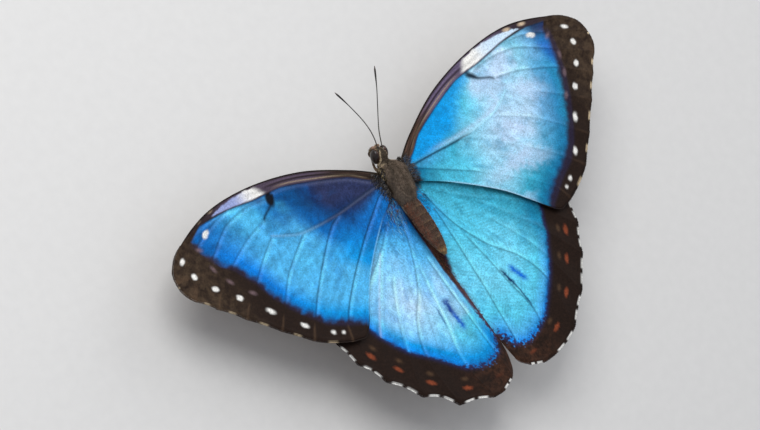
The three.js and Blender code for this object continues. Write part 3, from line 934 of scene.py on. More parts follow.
def hind_lunules(wing, paint, rough, speckle):
    """The orange crescents in the border, each with a fainter mark further in."""
    u, v = wing.u, wing.v
    for centre, angle in HIND_LUNULES:
        inward = (centre[0] * 0.945, centre[1] * 0.955)
        crescent = spot(u + 0.2 * rough, v + 0.2 * speckle, centre, (1.1, 0.45), angle)
        paint = layered(paint,
                        (ORANGE, 0.9 * crescent),
                        (INNER_LUNULE, 0.3 * spot(u, v, inward, (0.7, 0.4), angle, edge=0.4)))
    centre, angle = HIND_FAINT_LUNULE
    faint = FAINT_LUNULE_STRENGTH[wing.side_name] * spot(u, v, centre, (1.0, 0.35), angle)
    return mix(paint, ORANGE, faint)


def paint_hind(wing):
    """The hindwing's upper side."""
    u, v = wing.u, wing.v
    rough = layered_noise(u * 1.2, v * 1.2, seed=6, layers=3)
    speckle = noise(u * 3.2, v * 3.2, seed=7)
    reach, depth = blue_place(wing)
    blue = hind_blue(wing, speckle, reach)
    brown = mix(BORDER, RUSSET, np.clip(0.35 + 0.6 * rough, 0, 0.8) * smooth(14, 2, u))
    hairy = 0.35 * noise(u * 5, v * 0.9 + u, seed=19) * smooth(0, -2, u)
    hairy = hairy + 0.2 * noise(u * 3, v * 3, seed=18)
    brown = mix(brown, CHESTNUT, 0.8 * smooth(-1, -2.4, u) * smooth(-42, -30, v))
    brown = brown * (1 + hairy)[..., None]
    shaded = mix(brown, DUSK, 0.4 * bell(np.minimum(depth, 0), 0.7))
    ragged = 0.35 + 1.6 * smooth(-28, -41, v) * smooth(15, 2, u)
    paint = mix(shaded, blue, smooth(-0.4, 0.4, depth + ragged * (0.4 * rough + 0.6 * speckle)))
    paint = hind_lunules(wing, paint, rough, speckle)
    across = margin_cell(wing, HIND_VEIN_ENDS + [ANAL_ANGLE])
    beside = np.minimum(np.abs(across - 0.3), np.abs(across - 0.7))
    dash = (1 - smooth(0.1, 0.16, beside)) * wing.on_rim
    return layered(paint,
                   (FUR_DARK, 0.85 * smooth(2.4, 0.8, np.hypot(u, v + 1) + 0.4 * rough)),
                   (BORDER * 0.3, 0.8 * spot(u, v, *FOLD_SHADOW, edge=0.5)),
                   (UMBER, smooth(0.975, 0.99, wing.s) * smooth(-11, -8, v)),
                   (BONE, 0.95 * dash))


# ---- Wings: the colours of the underside ------------------------------------------------------

OCHRE = linear(176, 132, 66)
BARK = linear(104, 76, 52)
FAWN = linear(156, 128, 98)
DARK_BARK = linear(70, 50, 36)
SAND = linear(190, 170, 150)
BLACK = linear(14, 10, 9)
DUSTY_PINK = linear(122, 92, 96)

FORE_OCELLI = [((45.5, 1.2), 1.9), ((38, -8.5), 2.9), ((33.5, -14.5), 2.5)]
HIND_OCELLI = [((17.5, -10.5), 3.9), ((20.2, -26.5), 2.4), ((16, -32.5), 2.9), ((9, -35.5), 2.7)]


def ocellus(paint, u, v, centre, size):
    """An eye-spot: a dark rim, an ochre ring, a black disc, and a white pupil in a dull pink crescent."""
    for reach, colour in ((1.25, BORDER), (1.0, OCHRE), (0.72, BLACK)):
        paint = mix(paint, colour, spot(u, v, centre, (size * reach, size * reach), edge=0.25))
    crescent = spot(u, v, (centre[0] + 0.22 * size, centre[1]), (0.34 * size, 0.5 * size), edge=0.3)
    pupil = spot(u, v, centre, (0.15 * size, 0.15 * size), edge=0.2)
    return layered(paint, (DUSTY_PINK, 0.7 * crescent), (BONE, pupil))


def paint_under(wing):
    """Cryptic brown with pale bands, ringed eye-spots and a lighter edge."""
    u, v = wing.u, wing.v
    ripple = layered_noise(u * 0.5, v * 0.5, seed=51)
    bands = np.sin(0.62 * (wing.root + 1.6 * ripple))
    edge_band = bell(wing.margin, 0.55, 3.0) + 0.7 * bell(wing.margin, 0.3, 1.3)
    paint = layered(BARK,
                    (DARK_BARK, np.clip(0.5 + 0.5 * ripple, 0, 1)),
                    (FAWN, np.clip(bands - 0.55, 0, 1) * 1.6),
                    (SAND, 0.75 * np.clip(edge_band, 0, 1)),
                    (BORDER, 0.5 * wing.veins.ridge(0.3)))
    for centre, size in FORE_OCELLI if wing.kind == "fore" else HIND_OCELLI:
        paint = ocellus(paint, u, v, centre, size)
    return paint * (1 + 0.15 * noise(u * 3, v * 3, seed=52))[..., None]


# ---- Wings: meshes ----------------------------------------------------------------------------

VEIN_HEIGHT = 0.08
PLEAT_DEPTH = 0.16
MAP_MARGIN = 0.01
MAP_SIZE = 0.47  # how much of the unwrap each side of a wing fills across


def relief(wing):
    """Raised veins, and the membrane between them drawn into shallow pleats."""
    pleat = 0.5 - 0.5 * np.cos(np.pi * wing.veins.between())
    ripple = 0.12 * layered_noise(wing.u * 0.12, wing.v * 0.12, seed=61, layers=2)
    return VEIN_HEIGHT * wing.veins.ridge(0.34) - PLEAT_DEPTH * pleat * smooth(1, 12, wing.root) + ripple


def planar_map(wing, under):
    """The wing laid flat in one half of the square: the upper side on the left."""
    across, along = (wing.v, wing.u) if wing.kind == "fore" else (wing.u, wing.v)
    scale = MAP_SIZE / (across.max() - across.min())
    x = MAP_MARGIN + (across - across.min()) * scale + (0.5 if under else 0)
    y = MAP_MARGIN + (along - along.min()) * scale
    return np.stack((x, y), -1)


def quads(grid):
    """The four-cornered faces between the points of a grid."""
    return np.stack((grid[:-1, :-1], grid[1:, :-1], grid[1:, 1:], grid[:-1, 1:]), -1).reshape(-1, 4)


def turned_out(faces, corners, side):
    """Faces and their map, turned over where a shape is mirrored to the left."""
    if side > 0:
        return faces, corners
    return faces[:, ::-1], corners.reshape(*faces.shape, 2)[:, ::-1].reshape(-1, 2)


def build_wing(kind, side_name, rows, columns):
    """One closed plate: upper and under sides joined along a thin edge."""
    wing = Wing(kind, side_name, rows, columns)
    grid = np.stack((wing.u, wing.v), -1)
    outline = np.vstack((grid[:, 0], grid[-1], grid[::-1, -1], grid[0, ::-1]))
    inside = np.abs(distance_to(wing.u, wing.v, outline[::3])[0])
    inside[[0, -1], :] = 0
    inside[:, [0, -1]] = 0
    middle = wing.height() + relief(wing) * smooth(0, 1.2, inside)
    half = 0.5 * WING_THICKNESS * smooth(0, 0.7, inside)
    top = wing.at(wing.u, wing.v, middle + half).reshape(-1, 3)
    bottom = wing.at(wing.u, wing.v, middle - half).reshape(-1, 3)

    above = np.arange(len(top)).reshape(rows + 1, columns + 1)
    below = above + len(top)
    below[[0, -1], :] = above[[0, -1], :]
    below[:, [0, -1]] = above[:, [0, -1]]
    upper, lower = quads(above), quads(below)
    top_map, under_map = (planar_map(wing, under).reshape(-1, 2) for under in (False, True))
    corners = np.vstack((top_map[upper].reshape(-1, 2), under_map[upper[:, ::-1]].reshape(-1, 2)))
    faces, corners = turned_out(np.vstack((upper, lower[:, ::-1])), corners, wing.side)
    painted = paint_fore(wing) if kind == "fore" else paint_hind(wing)
    colours = np.vstack((painted.reshape(-1, 3), paint_under(wing).reshape(-1, 3)))
    used, faces = np.unique(faces, return_inverse=True)
    faces = faces.reshape(-1, 4)
    points = np.vstack((top, bottom))[used]
    piece = new_mesh(f"{kind}wing_{side_name}_scales", points, faces, colours[used], corners)
    dress(piece, "wing_scales", WING, f"{kind}wing_{side_name}")
    return wing, top.reshape(rows + 1, columns + 1, 3), painted


# Steps of each wing's grid from root to tip and across.
GRIDS = {"fore": (290, 165), "hind": (300, 158)}
WINGS = [build_wing(kind, side_name, *grid) for side_name in POSE for kind, grid in GRIDS.items()]


# ---- Tubes and strands ------------------------------------------------------------------------

PATCH = 0.003  # the size of one strand's patch on its piece's unwrap
BALL_GRID = (40, 64)  # the rings of an ellipsoid, and the points of each
ROOT_DEPTH = 0.06  # how far a strand's root is sunk into its surface, in millimetres


def skin_over(rings):
    """Triangles over a stack of rings, closed by a fan at each end, and the unwrap of each corner."""
    count, around = rings.shape[:2]
    i, j = np.meshgrid(np.arange(count - 1), np.arange(around), indexing="ij")
    i, j = i.ravel(), j.ravel()
    after = (j + 1) % around
    a, b, c, d = i * around + j, i * around + after, (i + 1) * around + after, (i + 1) * around + j
    faces = np.vstack((np.stack((a, b, c), 1), np.stack((a, c, d), 1)))
    low, high, left, right = i / (count - 1), (i + 1) / (count - 1), j / around, (j + 1) / around
    first = np.stack((left, low, right, low, right, high), 1)
    second = np.stack((left, low, right, high, left, high), 1)
    first_pole, last_pole = count * around, count * around + 1
    j = np.arange(around)
    after = (j + 1) % around
    start = np.stack((np.full(around, first_pole), after, j), 1)
    end = np.stack((np.full(around, last_pole), (count - 1) * around + j, (count - 1) * around + after), 1)
    left, right, one, nil = j / around, (j + 1) / around, np.ones(around), np.zeros(around)
    start_map = np.stack(((left + right) / 2, nil, right, nil, left, nil), 1)
    end_map = np.stack(((left + right) / 2, one, left, one, right, one), 1)
    faces = np.vstack((faces, start, end))
    corners = np.vstack((first, second, start_map, end_map)).reshape(-1, 2)
    points = np.vstack((rings.reshape(-1, 3), rings[0].mean(0), rings[-1].mean(0)))
    return points, faces, corners


def tube(path, radii, around=12):
    """Rings along a path, each square to it."""
    path = np.asarray(path, float)
    ahead = unit(np.gradient(path, axis=0))
    side = np.cross(ahead[0], (0, 0, 1) if abs(ahead[0][2]) < 0.9 else (1, 0, 0))
    normals = []
    for direction in ahead:
        side = unit(side - (side @ direction) * direction)
        normals.append(side)
    normals = np.array(normals)
    across = np.cross(ahead, normals)
    angle = np.linspace(0, 2 * np.pi, around, endpoint=False)[None, :, None]
    spokes = normals[:, None] * np.cos(angle) + across[:, None] * np.sin(angle)
    return path[:, None] + spokes * np.asarray(radii, float)[:, None, None]


def ellipsoid(centre, half, turn=np.eye(3)):
    """Rings over an ellipsoid, from its -X end to its +X end."""
    steps, around = BALL_GRID
    polar = np.linspace(np.pi - 0.02, 0.02, steps)[:, None]
    angle = np.linspace(0, 2 * np.pi, around, endpoint=False)[None]
    ball = np.stack((np.cos(polar) * np.ones_like(angle), np.sin(polar) * np.cos(angle),
                     np.sin(polar) * np.sin(angle)), -1)
    return (ball * half) @ turn.T + centre


class Batch:
    """Several shapes joined as one mesh, each with its own strip or patch of the unwrap."""

    def __init__(self):
        self.points, self.faces, self.corners, self.colours = [], [], [], []
        self.size = 0

    def add(self, points, faces, corners, colours):
        """Add one shape, in one colour or a colour per point."""
        self.points.append(points)
        self.faces.append(faces + self.size)
        self.corners.append(corners)
        self.colours.append(np.broadcast_to(colours, points.shape))
        self.size += len(points)

    def add_tube(self, path, radii, colour, strip=(0, 1), around=12):
        """Add a closed tube, in the part of the unwrap that runs from strip[0] to strip[1]."""
        points, faces, corners = skin_over(tube(path, radii, around))
        corners = corners * (0.98, strip[1] - strip[0]) + (0.01, strip[0])
        self.add(points, faces, corners, colour(points) if callable(colour) else colour)

    def build(self, name, slot, material, *nodes):
        """Make the mesh and dress it."""
        piece = new_mesh(name, np.vstack(self.points), np.vstack(self.faces), np.vstack(self.colours),
                         np.vstack(self.corners))
        return dress(piece, slot, material, *nodes)


def strands(roots, normals, lies, lengths, widths, lifts, curls, places, root_colours, tip_colours):
    """Closed tapering strands: three sides, a bend in the middle, and a point at the end.

    lifts says how far each leaves the surface, and curls how far its tip bends back down.
    """
    count = len(roots)
    lies = unit(lies - (lies * normals).sum(1)[:, None] * normals)
    ahead = unit(lies * np.cos(lifts)[:, None] + normals * np.sin(lifts)[:, None])
    side = unit(np.cross(ahead, normals))
    up = np.cross(side, ahead)
    lengths, widths, curls = lengths[:, None], widths[:, None], curls[:, None]
    base = roots - normals * ROOT_DEPTH
    middle = base + ahead * lengths * 0.5
    tip = base + ahead * lengths - normals * lengths * curls

    def ring(centre, wide):
        """A strand's three corners at one place along it."""
        return [centre + side * wide / 2, centre - side * wide / 2, centre + up * wide * 0.3]

    points = np.stack(ring(base, widths * 0.8) + ring(middle, widths) + [tip], 1)
    shape = np.array([(0, 2, 1), (0, 1, 4), (0, 4, 3), (1, 2, 5), (1, 5, 4), (2, 0, 3), (2, 3, 5),
                      (3, 4, 6), (4, 5, 6), (5, 3, 6)])
    faces = shape[None] + 7 * np.arange(count)[:, None, None]
    spread = np.array([(0, 0), (1, 0), (0.5, 0.1), (0, 0.5), (1, 0.5), (0.5, 0.6), (0.5, 1)]) - 0.5
    patch = places[:, None] + spread[None] * PATCH
    shade = np.array([0, 0, 0, 0.5, 0.5, 0.5, 1])[None, :, None]
    colours = root_colours[:, None] * (1 - shade) + tip_colours[:, None] * shade
    faces = faces.reshape(-1, 3)
    corners = np.clip(patch.reshape(-1, 2), 0, 1)[faces.ravel()]
    return points.reshape(-1, 3), faces, corners, colours.reshape(-1, 3)


# ---- Body skin --------------------------------------------------------------------------------

# Along the body: y, half width, half height and height of the centre.
BODY = [(5.8, 0.05, 0.05, -0.7), (5.55, 0.7, 0.8, -0.7), (5, 1.15, 1.35, -0.65), (4.1, 1.45, 1.7, -0.7),
        (3.2, 1.35, 1.5, -0.75), (2.6, 1.1, 1.3, -0.85), (2, 1.4, 1.6, -0.85), (1.4, 1.85, 2.1, -0.6),
        (0, 2.35, 2.75, -0.3), (-1.6, 2.6, 3.1, -0.2), (-3.3, 2.65, 3.15, -0.2), (-5.2, 2.45, 2.85, -0.15),
        (-6.8, 2.0, 2.25, 0), (-7.9, 1.68, 1.75, 0.1), (-9, 1.88, 1.88, 0.25), (-11.5, 1.98, 1.98, 0.6),
        (-14.5, 1.9, 1.9, 1.05), (-17.5, 1.62, 1.62, 1.4), (-20, 1.12, 1.12, 1.72), (-21.2, 0.6, 0.6, 1.85),
        (-21.6, 0.05, 0.05, 1.9)]
BODY_RINGS = 220
BODY_AROUND = 84
WAIST = -7.7
TAIL = -21.6
ABDOMEN_RINGS = 7
FULLNESS = 2.3  # the power of the thorax's section: an ellipse has 2, and more is squarer
RING_BROWN = linear(74, 54, 44)
RING_PALE = linear(108, 84, 62)
ROOT_SHADE = 0.7  # how dark the skin and the hairs' roots are beside the coat's own colour


def ring_phase(y):
    """How far each y lies along its own ring of the abdomen, 0 at the front and 1 at the back."""
    along = np.clip((WAIST - y) / (WAIST - TAIL), 0, 0.999) * ABDOMEN_RINGS
    return along - np.floor(along)


def body_rings():
    """Rings along the body, with a fuller thorax, a groove down its back and a ringed abdomen."""
    stations = spline(BODY, BODY_RINGS)
    angle = np.linspace(0, 2 * np.pi, BODY_AROUND, endpoint=False)
    x, z = np.sin(angle)[None], -np.cos(angle)[None]
    fuller = (np.abs(x) ** FULLNESS + np.abs(z) ** FULLNESS) ** (-1 / FULLNESS)
    y = np.repeat(stations[:, :1], BODY_AROUND, axis=1)
    on_thorax = smooth(2.2, 1.0, y) * smooth(-7.8, -6.4, y)
    swell = 1 + (fuller - 1) * on_thorax
    step = smooth(0.0, 0.1, ring_phase(y)) * (1 - 0.6 * smooth(0.7, 1, ring_phase(y)))
    swell = swell * (1 - 0.05 * (1 - step) * smooth(WAIST + 0.3, WAIST - 0.6, y))
    groove = 0.06 * bell(x, 0.1) * (z > 0) * on_thorax
    shoulder = 0.1 * bell(y, 1.3, -0.4) * bell(np.abs(x), 0.25, 0.75) * (z > 0)
    swell = swell * (1 - groove + shoulder)
    return np.stack((x * stations[:, 1:2] * swell, y, z * stations[:, 2:3] * swell + stations[:, 3:4]), -1)


def eye_reach(points):
    """1 on the surface of the nearer eye, less inside it."""
    at = (np.abs(points) * (1, 0, 0) + points * (0, 1, 1) - EYE_CENTRE) @ EYE_TURN
    return np.linalg.norm(at / EYE_HALF, axis=-1)


def thorax_colour(x, y, z, mottle):
    """Locks of grey-brown, with a dark line down the back and a paler underside."""
    locks = 1 + 1.1 * layered_noise((x + 0.6 * z) * 0.9, y * 0.4, seed=72)
    fur = mix(FUR, FUR_DARK, np.clip(0.35 + 0.6 * mottle, 0, 1)) * locks[..., None]
    return layered(fur, (FUR_DARK, 0.7 * bell(x, 0.35) * (z > 0)), (BELLY, 0.5 * smooth(0.2, -2.2, z)))


def abdomen_colour(x, y, z, mottle):
    """Brown rings with pale hind edges, reddish flecked sides, a pale belly and a tan tip."""
    phase = ring_phase(y)
    centre = 0.25 + 1.65 * smooth(WAIST, TAIL, y)
    around = np.abs(x) / (np.abs(x) + np.clip(z - centre, 0, 9) + 0.4)
    flecks = 0.9 * smooth(0.72, 0.8, hashed(x * 31 + z, y * 31)) * smooth(0.15, 0.6, around)
    paint = layered(RING_BROWN,
                    (RING_PALE, smooth(0.62, 0.95, phase)),
                    (FUR_DARK, 0.45 * (1 - smooth(0.0, 0.3, phase))),
                    (SIDE_RED, 0.85 * smooth(0.4, 0.75, around)),
                    (BELLY, 0.8 * smooth(-0.2, -1.2, z - centre)),
                    (TAIL_TAN, 0.85 * smooth(-19.4, -21, y)),
                    (ORANGE, flecks))
    return paint * (1 + 0.35 * mottle)[..., None]


def head_colour(x, y, z, mottle):
    """Dark, with a pale rim round each eye and a pale patch on each side of the collar."""
    rim = bell(eye_reach(np.stack((x, y, z), -1)), 0.09, 1.12)
    collar = bell(y, 0.35, 1.9) * bell(np.abs(x), 0.35, 1.1) * (z > -1)
    return layered(mix(FUR_DARK * 0.7, FUR, np.clip(0.2 + 0.5 * mottle, 0, 1)),
                   (FACE_TAN, 0.95 * rim),
                   (FACE_TAN, 0.8 * collar))


def coat_colour(points):
    """The body's markings, which its skin and its hair share."""
    x, y, z = points[..., 0], points[..., 1], points[..., 2]
    mottle = layered_noise(x * 1.6 + z, y * 1.6, seed=71)
    thorax, abdomen, head = (part(x, y, z, mottle) for part in (thorax_colour, abdomen_colour, head_colour))
    return mix(mix(thorax, abdomen, smooth(-7.0, -8.2, y)), head, smooth(1.4, 2.2, y))


def build_skin():
    """One closed skin over the head, neck, thorax and abdomen."""
    rings = body_rings()
    points, faces, corners = skin_over(rings)
    piece = new_mesh("body_skin", points, faces, coat_colour(points) * ROOT_SHADE, corners)
    dress(piece, "body_hair", SKIN, "head", "neck", "thorax", "abdomen")
    return rings


class Ground:
    """A surface as a place for roots: points, normals and their places on its unwrap.

    facing is -1 where the surface is mirrored; an open one has no roots beside its joined ends.
    """

    def __init__(self, rings, facing=1, is_open=False):
        self.rings = rings
        along = np.gradient(rings, axis=0)
        around = (np.roll(rings, -1, axis=1) - np.roll(rings, 1, axis=1)) / 2
        across = np.cross(around, along) * facing
        self.normals = unit(across)
        self.area = np.linalg.norm(across, axis=-1)
        if is_open:
            self.area[:, [0, -2, -1]] = 0

    def scatter(self, count, dice, weight):
        """Roots spread over the skin where weight, a field over its points, asks for them."""
        share = (self.area * weight(self.rings)).ravel()
        cell = dice.choice(share.size, count, p=share / share.sum())
        i, j = np.unravel_index(cell, self.area.shape)
        i = np.minimum(i, len(self.rings) - 2)
        fi, fj = dice.random(count)[:, None], dice.random(count)[:, None]
        after = (j + 1) % self.rings.shape[1]

        def blend(grid):
            """A field of the grid, at the roots."""
            near = grid[i, j] * (1 - fj) + grid[i, after] * fj
            far = grid[i + 1, j] * (1 - fj) + grid[i + 1, after] * fj
            return near * (1 - fi) + far * fi

        around = (j[:, None] + fj) / self.rings.shape[1]
        along = (i[:, None] + fi) / (len(self.rings) - 1)
        return blend(self.rings), unit(blend(self.normals)), np.hstack((around, along))


# ---- Body hair --------------------------------------------------------------------------------

def lie_of_coat(points):
    """Which way the hair runs: back along the body, outward at the wing roots, up on the crown."""
    x, y, z = points[:, 0], points[:, 1], points[:, 2]
    swirl = layered_noise(x * 1.3 + z, y * 1.1 + z, seed=73)
    backward = np.stack((0.12 * x + 0.8 * swirl, np.full(len(x), -1.0), 0.4 * swirl - 0.1 * np.sign(z)), 1)
    outward = np.stack((np.sign(x) * 1.1, np.full(len(x), -0.7), np.zeros(len(x))), 1)
    near_wings = bell(y, 3.2, -2.5) * smooth(1.3, 2.3, np.abs(x)) * smooth(-2, 0, z)
    crown = np.stack((0.3 * x, np.full(len(x), 0.5), np.full(len(x), 1.0)), 1)
    on_head = smooth(2.8, 3.6, y)[:, None]
    body = backward * (1 - near_wings[:, None]) + outward * near_wings[:, None]
    return body * (1 - on_head) + crown * on_head


def grow_coat(ground, name, count, seed, weight, length, width, lift, curl=0.18, light=1.5,
              lie=lie_of_coat, tones=None, slot="body_hair"):
    """One piece of coat: strands rooted where weight asks, coloured as the skin is or in chosen tones."""
    dice = np.random.default_rng(seed)
    roots, normals, places = ground.scatter(count, dice, weight)
    lies = lie(roots) + dice.normal(0, 0.2, roots.shape)
    lengths = length(roots) * dice.uniform(0.65, 1.25, count)
    lifts = np.radians(lift * dice.uniform(0.4, 1.6, count))
    colour = coat_colour(roots) if tones is None else np.array(tones)[dice.integers(len(tones), size=count)]
    colour = colour * dice.uniform(0.6, 1.4, (count, 1))
    # Tips are paler in their own colour, and lighter still by light: a painted highlight.
    tips = (mix(colour, FUR_LIGHT, 0.25) if tones is None else colour) * light
    batch = Batch()
    batch.add(*strands(roots, normals, lies, lengths, width * dice.uniform(0.7, 1.3, count), lifts,
                       curl * dice.uniform(0.5, 1.5, count), places, colour * ROOT_SHADE, tips))
    batch.build(name, slot, HAIR)


def clear_of_eyes(points):
    """1 outside the eyes, where hair can stand, and 0 inside them."""
    return (eye_reach(points) > 1.02).astype(float)


def thorax_length(points):
    """The thorax's hair is longest beside the wings."""
    at_wings = bell(points[:, 1], 3.4, -3) * smooth(1.2, 2.2, np.abs(points[:, 0]))
    return 1.1 + 0.6 * at_wings


def build_coat(rings):
    """The hair of the thorax, abdomen and head, and the brush at the tail."""
    ground = Ground(rings)
    grow_coat(ground, "thorax_hair", count=15000, seed=101,
              weight=lambda p: smooth(2.3, 1.6, p[..., 1]) * smooth(-8.2, -7.0, p[..., 1]),
              length=thorax_length, width=0.095, lift=22, light=2.1)
    grow_coat(ground, "abdomen_hair", count=15000, seed=102,
              weight=lambda p: (smooth(-7.0, -8.0, p[..., 1])
                                * (0.5 + smooth(0.2, 0.9, ring_phase(p[..., 1])))),
              length=lambda p: 0.6 - 0.15 * smooth(-16, -21, p[:, 1]), width=0.075, lift=13, light=1.7,
              slot="abdomen_hair")
    grow_coat(ground, "head_hair", count=5500, seed=103,
              weight=lambda p: smooth(1.9, 2.5, p[..., 1]) * clear_of_eyes(p),
              length=lambda p: 0.42 + 0.12 * smooth(3.5, 2.4, p[:, 1]), width=0.07, lift=36)
    grow_coat(ground, "tail_brush", count=700, seed=104,
              weight=lambda p: smooth(-20.0, -20.8, p[..., 1]),
              length=lambda p: np.full(len(p), 0.75), width=0.08, lift=8, curl=0.0)


# ---- Hair at the roots of the wings, and the fringe along their edges --------------------------

GREY_HAIR = linear(112, 108, 104)
STRAW = linear(206, 182, 136)
RED_HAIR = linear(118, 66, 50)
BLUE_HAIR = linear(16, 60, 100)

# Tufts rooted on the wings: the wing, the ellipse of its plane that they stand in, how many there
# are, how long, which way they lie (mirrored on the left) and their colours.
ROOT_TUFTS = {
    "hind_base_left": ("hind", "left", (0.6, -3.4), (1.8, 3.0), 1100, 1.2, (0.4, -0.9, 0),
                       (SKY, DENIM, GREY_HAIR, GREY_HAIR, FUR_DARK, RED_HAIR)),
    "hind_rays_left": ("hind", "left", (2.0, -5.5), (1.8, 3.5), 160, 2.0, (0.2, -1, 0), (SKY, ICE)),
    "hind_base_right": ("hind", "right", (-0.6, -3.2), (1.2, 3.4), 600, 1.0, (0.5, -0.85, 0),
                        (FUR_DARK, RED_HAIR, BLUE_HAIR, BLUE_HAIR)),
    "hind_fold_left": ("hind", "left", (-3.3, -15), (0.6, 8.5), 2600, 0.9, (0.2, -0.97, 0),
                       (RED_HAIR, SIDE_RED, FUR_DARK, FUR_DARK)),
    "hind_fold_right": ("hind", "right", (-3.2, -13), (0.7, 9.5), 2600, 0.9, (0.2, -0.97, 0),
                        (RED_HAIR, FUR_DARK, SIDE_RED)),
    "fore_base_left": ("fore", "left", (0.3, -1.4), (1.5, 3.2), 1300, 1.3, (0.9, -0.5, 0),
                       (FUR_DARK, FUR_DARK, INK * 0.4, GREY_HAIR)),
    "fore_base_right": ("fore", "right", (0.1, -1.2), (1.1, 3), 1300, 0.9, (1, -0.3, 0),
                        (FUR, GREY_HAIR, SLATE, BLUE_HAIR)),
}
FRINGE_SPACING = 0.09
FRINGE_WIDTH = 0.12


def build_root_tufts():
    """The tufts of ROOT_TUFTS, one piece each."""
    made = {(wing.kind, wing.side_name): (wing, top) for wing, top, _ in WINGS}
    for seed, (name, tuft) in enumerate(ROOT_TUFTS.items(), 111):
        kind, side_name, centre, half, count, length, lie, tones = tuft
        wing, top = made[kind, side_name]
        here = spot(wing.u, wing.v, centre, half, edge=0.6 * min(half))
        direction = mirrored(lie, wing.side)
        grow_coat(Ground(top, -wing.side, is_open=True), f"{name}_hair", count, seed,
                  weight=lambda _: here,
                  length=lambda p: length * (0.45 + 0.9 * hashed(p[:, 0] * 9, p[:, 1] * 9)),
                  width=0.05, lift=7, curl=0.06, light=1.2,
                  lie=lambda p: np.broadcast_to(direction, p.shape), tones=tones, slot="wing_scales")


SHOULDER = ((2.75, 0.1, 0.55), (0.85, 1.45, 0.6))  # the right lobe's centre and half its size


def build_shoulder(side_name, side):
    """The scaly lobe over the root of the forewing."""
    lobe = mirrored(ellipsoid(*SHOULDER), side)
    grow_coat(Ground(lobe, side), f"shoulder_{side_name}_hair", count=1500, seed=120,
              weight=lambda p: smooth(0.2, 0.6, p[..., 2]),
              length=lambda p: np.full(len(p), 1.0), width=0.07, lift=12, light=1.1,
              lie=lambda p: np.broadcast_to((0.5 * side, -0.9, 0), p.shape),
              tones=(FUR_DARK,) * 6 + (FUR, GREY_HAIR, STRAW if side < 0 else FUR))


def build_fringe(wing, painted):
    """Hair-like scales that stand out from the wing's edge, pale between the veins."""
    dice = np.random.default_rng(130)
    i, j = wing.edge_cells()
    edge = np.stack((wing.u[i, j], wing.v[i, j], wing.height()[i, j]), 1)
    along = np.concatenate(([0], np.cumsum(np.linalg.norm(np.diff(edge, axis=0), axis=1))))
    stops = np.arange(0, along[-1], FRINGE_SPACING / 2)
    count = len(stops)
    shorter = 0.3 + 0.7 * smooth(0, 4, stops) * smooth(along[-1], along[-1] - 5, stops)
    field = np.hstack((edge, painted[i, j]))
    root = np.stack([np.interp(stops, along, column) for column in field.T], 1)
    ahead = np.gradient(root[:, :2], axis=0)
    out = unit(np.stack((-ahead[:, 1], ahead[:, 0]), 1)) * 0.1
    at = wing.at(root[:, 0], root[:, 1], root[:, 2])
    lies = wing.at(root[:, 0] + out[:, 0], root[:, 1] + out[:, 1], root[:, 2]) - at
    normals = np.broadcast_to(wing.turn[:, 2] * (wing.side, 1, 1), at.shape)
    on_blue = smooth(1.3, 2, root[:, 5] / root[:, 3])
    colour = mix(root[:, 3:], BORDER, on_blue) * dice.uniform(0.8, 1.2, (count, 1))
    places = np.stack((0.05 + 0.9 * stops / along[-1], np.where(np.arange(count) % 2, 0.3, 0.7)), 1)
    lies = unit(lies) + dice.normal(0, 0.12, at.shape)
    lengths = dice.uniform(0.24, 0.4, count) * shorter
    lifts = np.radians(dice.uniform(-4, 4, count))
    batch = Batch()
    batch.add(*strands(at, normals, lies, lengths, np.full(count, FRINGE_WIDTH), lifts, np.zeros(count),
                       places, colour, colour))
    batch.build(f"{wing.kind}wing_{wing.side_name}_fringe", "wing_scales", HAIR)


# ---- Head: eyes, palps, tongue and feelers ----------------------------------------------------

EYE_RIM = linear(58, 36, 27)
EYE_BROWN = linear(26, 15, 12)
EYE_INSET = 0.02  # how much smaller the visual eye is than the solid one, in millimetres


def build_eye(side_name, side):
    """A many-faceted dome, dark brown with a lighter rim towards the head."""
    points, faces, corners = skin_over(ellipsoid(EYE_CENTRE, np.array(EYE_HALF) - EYE_INSET, EYE_TURN))
    points = mirrored(points, side)
    faces, corners = turned_out(faces, corners, side)
    outward = np.clip((np.abs(points[:, 0]) - EYE_CENTRE[0]) / EYE_HALF[0], 0, 1)
    streaks = 0.5 + 0.5 * np.sin(points[:, 1] * 6 - 3 * points[:, 2])
    colours = mix(EYE_RIM, EYE_BROWN, smooth(0.0, 0.2, outward))
    colours = colours * (0.6 + 0.8 * streaks)[:, None]
    dress(new_mesh(f"compound_eye_{side_name}", points, faces, colours, corners), "compound_eye", EYE,
          f"eye_{side_name}")


PALP = [(0.75, 4.6, -2.1), (0.8, 5.55, -2.05), (0.72, 6.1, -1.05), (0.55, 6.0, 0.2)]
PALP_TIP = linear(206, 166, 146)
PALP_BROWN = linear(70, 54, 40)
PALP_HAIRS = 900


